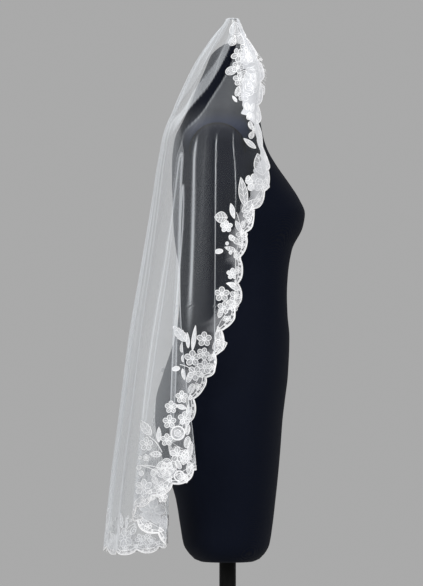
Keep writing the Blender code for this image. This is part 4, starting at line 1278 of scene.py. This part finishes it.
def clampedShare(tree, value, whole):
    share = linkMath(tree, "DIVIDE", value, whole)
    return linkMath(tree, "MINIMUM", linkMath(tree, "MAXIMUM", share, 0.0), 1.0)


def shoulderGroup():
    tree = bpy.data.node_groups.new("armholeSeamAndPaintedLight", "ShaderNodeTree")
    tree.interface.new_socket("Share", in_out="OUTPUT", socket_type="NodeSocketFloat")
    result = tree.nodes.new("NodeGroupOutput")
    place = tree.nodes.new("ShaderNodeTexCoord")
    parts = tree.nodes.new("ShaderNodeSeparateXYZ")
    tree.links.new(place.outputs["Object"], parts.inputs["Vector"])
    y = linkMath(tree, "SUBTRACT", parts.outputs["Y"], armhole["y"])
    z = linkMath(tree, "SUBTRACT", parts.outputs["Z"], armhole["z"])
    reach = linkMath(tree, "SQRT", linkMath(tree, "ADD", linkMath(tree, "MULTIPLY", y, y),
                                            linkMath(tree, "MULTIPLY", z, z)))
    off = linkMath(tree, "ABSOLUTE", linkMath(tree, "SUBTRACT", reach, armhole["radius"]))
    above = linkMath(tree, "GREATER_THAN", parts.outputs["Z"], armhole["lowest"])
    seam = linkMath(tree, "MULTIPLY", linkMath(tree, "LESS_THAN", off, armhole["line"]), above)
    outside = linkMath(tree, "GREATER_THAN", reach, armhole["radius"])
    height = linkMath(tree, "SUBTRACT", parts.outputs["Z"], armhole["lowest"])
    height = clampedShare(tree, height, armhole["ramp"])
    side = linkMath(tree, "SUBTRACT", linkMath(tree, "ABSOLUTE", parts.outputs["X"]), armhole["side"])
    side = clampedShare(tree, side, armhole["sideRamp"])
    # Painted light: the jersey outside the seam, above its lowest point and towards the sides, is brightened
    paintedLightMask = linkMath(tree, "MULTIPLY", linkMath(tree, "MULTIPLY", outside, height), side)
    paintedLight = linkMath(tree, "MULTIPLY_ADD", paintedLightMask, armhole["paintedLight"], 1.0)
    kept = linkMath(tree, "SUBTRACT", 1.0, seam)
    tree.links.new(linkMath(tree, "MULTIPLY", paintedLight, kept), result.inputs["Share"])
    return tree


def addSeamAndPaintedLight(material):
    tree = material.node_tree
    shader = tree.nodes["Principled BSDF"]
    before = shader.inputs["Base Color"].links[0].from_socket
    seam = tree.nodes.new("ShaderNodeGroup")
    seam.node_tree = shoulderGroup()
    tint = tree.nodes.new("ShaderNodeVectorMath")
    tint.operation = "SCALE"
    tree.links.new(before, tint.inputs[0])
    tree.links.new(seam.outputs["Share"], tint.inputs["Scale"])
    tree.links.new(tint.outputs["Vector"], shader.inputs["Base Color"])


# The jersey gets the dark seam line and the painted light on its shoulders
addSeamAndPaintedLight(jersey)


def makeForm():
    heights = columnOf(formRings, "height")
    between = [np.linspace(a, b, max(int((b - a) / form["step"]), 1), endpoint=False)
               for a, b in zip(heights, heights[1:])]
    fine = np.append(np.concatenate(between), heights[-1])
    turns = np.linspace(0, 2 * math.pi, form["sides"], endpoint=False)
    rows = []
    for height in fine:
        back, front, half = (float(smoothBetween(heights, columnOf(formRings, part), np.array(height)))
                             for part in ("back", "front", "halfWidth"))
        rows.append(ovalPoint(turns, (back + front) / 2, back, front, half, height, form["squareness"]))
    points = np.concatenate(rows)
    faces = gridFaces(len(fine), form["sides"], closed=True).tolist()
    last = (len(fine) - 1) * form["sides"]
    mesh = bpy.data.meshes.new("formBody")
    mesh.from_pydata(points.tolist(), [], faces)
    body = bmesh.new()
    body.from_mesh(mesh)
    body.verts.ensure_lookup_table()
    body.faces.new(body.verts[:form["sides"]])
    body.faces.new(body.verts[last:last + form["sides"]])
    bmesh.ops.recalc_face_normals(body, faces=body.faces)
    body.to_mesh(mesh)
    body.free()
    mesh.shade_smooth()
    return addPiece("formBody", mesh, jersey)


formPiece = makeForm()
print("form made")
blackSteel = plainFinish("satinBlackSteel", (0.0012, 0.0012, 0.0014), 0.55)
blackSteel.node_tree.nodes["Principled BSDF"].inputs["Specular IOR Level"].default_value = 0.12
addGrain(blackSteel, "grain", 0.3, 0.12, 0.0002)
clearComb = plainFinish("clearComb", (0.80, 0.80, 0.78), 0.25)
addGrain(clearComb, "cloud", 0.2, 0.1, 0.0003)
for label, finish in (("pole", blackSteel), ("base_plate", blackSteel), ("comb", clearComb)):
    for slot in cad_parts[label].material_slots:
        slot.material = finish

camera = {"distance": 15.0, "across": 0.029, "height": 1.122, "pictureHeight": 1.0548, "sensor": 36.0}


def makeCamera():
    data = bpy.data.cameras.new("camera")
    data.sensor_width = camera["sensor"]
    data.lens = camera["sensor"] * camera["distance"] / camera["pictureHeight"]
    data.clip_start, data.clip_end = 0.1, 60
    place = bpy.data.objects.new("camera", data)
    place.location = (-camera["distance"], camera["across"], camera["height"])
    place.rotation_euler = (math.radians(90), 0, math.radians(-90))
    bpy.context.scene.collection.objects.link(place)
    bpy.context.scene.camera = place


def makeLight(name, place, aim, size, power, color=(1, 1, 1)):
    data = bpy.data.lights.new(name, "AREA")
    data.shape = "DISK"
    data.size = size
    data.energy = power
    data.color = color
    light = bpy.data.objects.new(name, data)
    light.location = place
    way = np.array(aim) - np.array(place)
    light.rotation_euler = (math.atan2(math.hypot(way[0], way[1]), way[2]) - math.pi, 0,
                            math.atan2(way[1], way[0]) + math.pi / 2 + math.pi)
    bpy.context.scene.collection.objects.link(light)
    return light


def makeWorld():
    world = bpy.data.worlds.new("studio")
    bpy.context.scene.world = world
    world.use_nodes = True
    background = world.node_tree.nodes["Background"]
    background.inputs["Color"].default_value = (0.40, 0.40, 0.40, 1)
    background.inputs["Strength"].default_value = 1.0


makeCamera()
makeWorld()
from mathutils import Vector


def aimed(light, aim):
    way = Vector(aim) - light.location
    light.rotation_euler = way.to_track_quat("-Z", "Y").to_euler()


middle = (0, 0.02, 1.15)
for name, place, size, power in (
    ("key", (-2.9, -1.6, 2.4), 1.8, 72),
    ("fill", (-2.4, 2.0, 1.9), 1.6, 42),
    ("top", (0.3, 0.2, 3.4), 1.6, 28),
):
    aimed(makeLight(name, place, middle, size, power), middle)

floorMesh = bpy.data.meshes.new("floor")
floorMesh.from_pydata([(-6, -6, 0), (6, -6, 0), (6, 6, 0), (-6, 6, 0)], [], [(0, 1, 2, 3)])
paleFloor = plainFinish("paleFloor", (0.6, 0.6, 0.59), 0.8)
addGrain(paleFloor, "cloud", 0.06, 0.1, 0.001)
floor = addPiece("floor", floorMesh, paleFloor)

scene = bpy.context.scene
scene.view_settings.view_transform = "Standard"
scene.cycles.transparent_max_bounces = 64

for piece, node, slot in (
    (tullePiece, "tulle_panel", "tulle"),
    (nets["Right"], "lace_right", "lace"),
    (nets["Hem"], "lace_hem", "lace"),
    (nets["Left"], "lace_left", "lace"),
    (formPiece, "dress_form", "jersey"),
):
    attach(piece, "root")
    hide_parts(node)


for label, node in (("Right", "lace_right"), ("Hem", "lace_hem"), ("Left", "lace_left")):
    for piece in (laceCords[label], lacePetals[label]):
        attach(piece, "root")
        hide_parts(node)
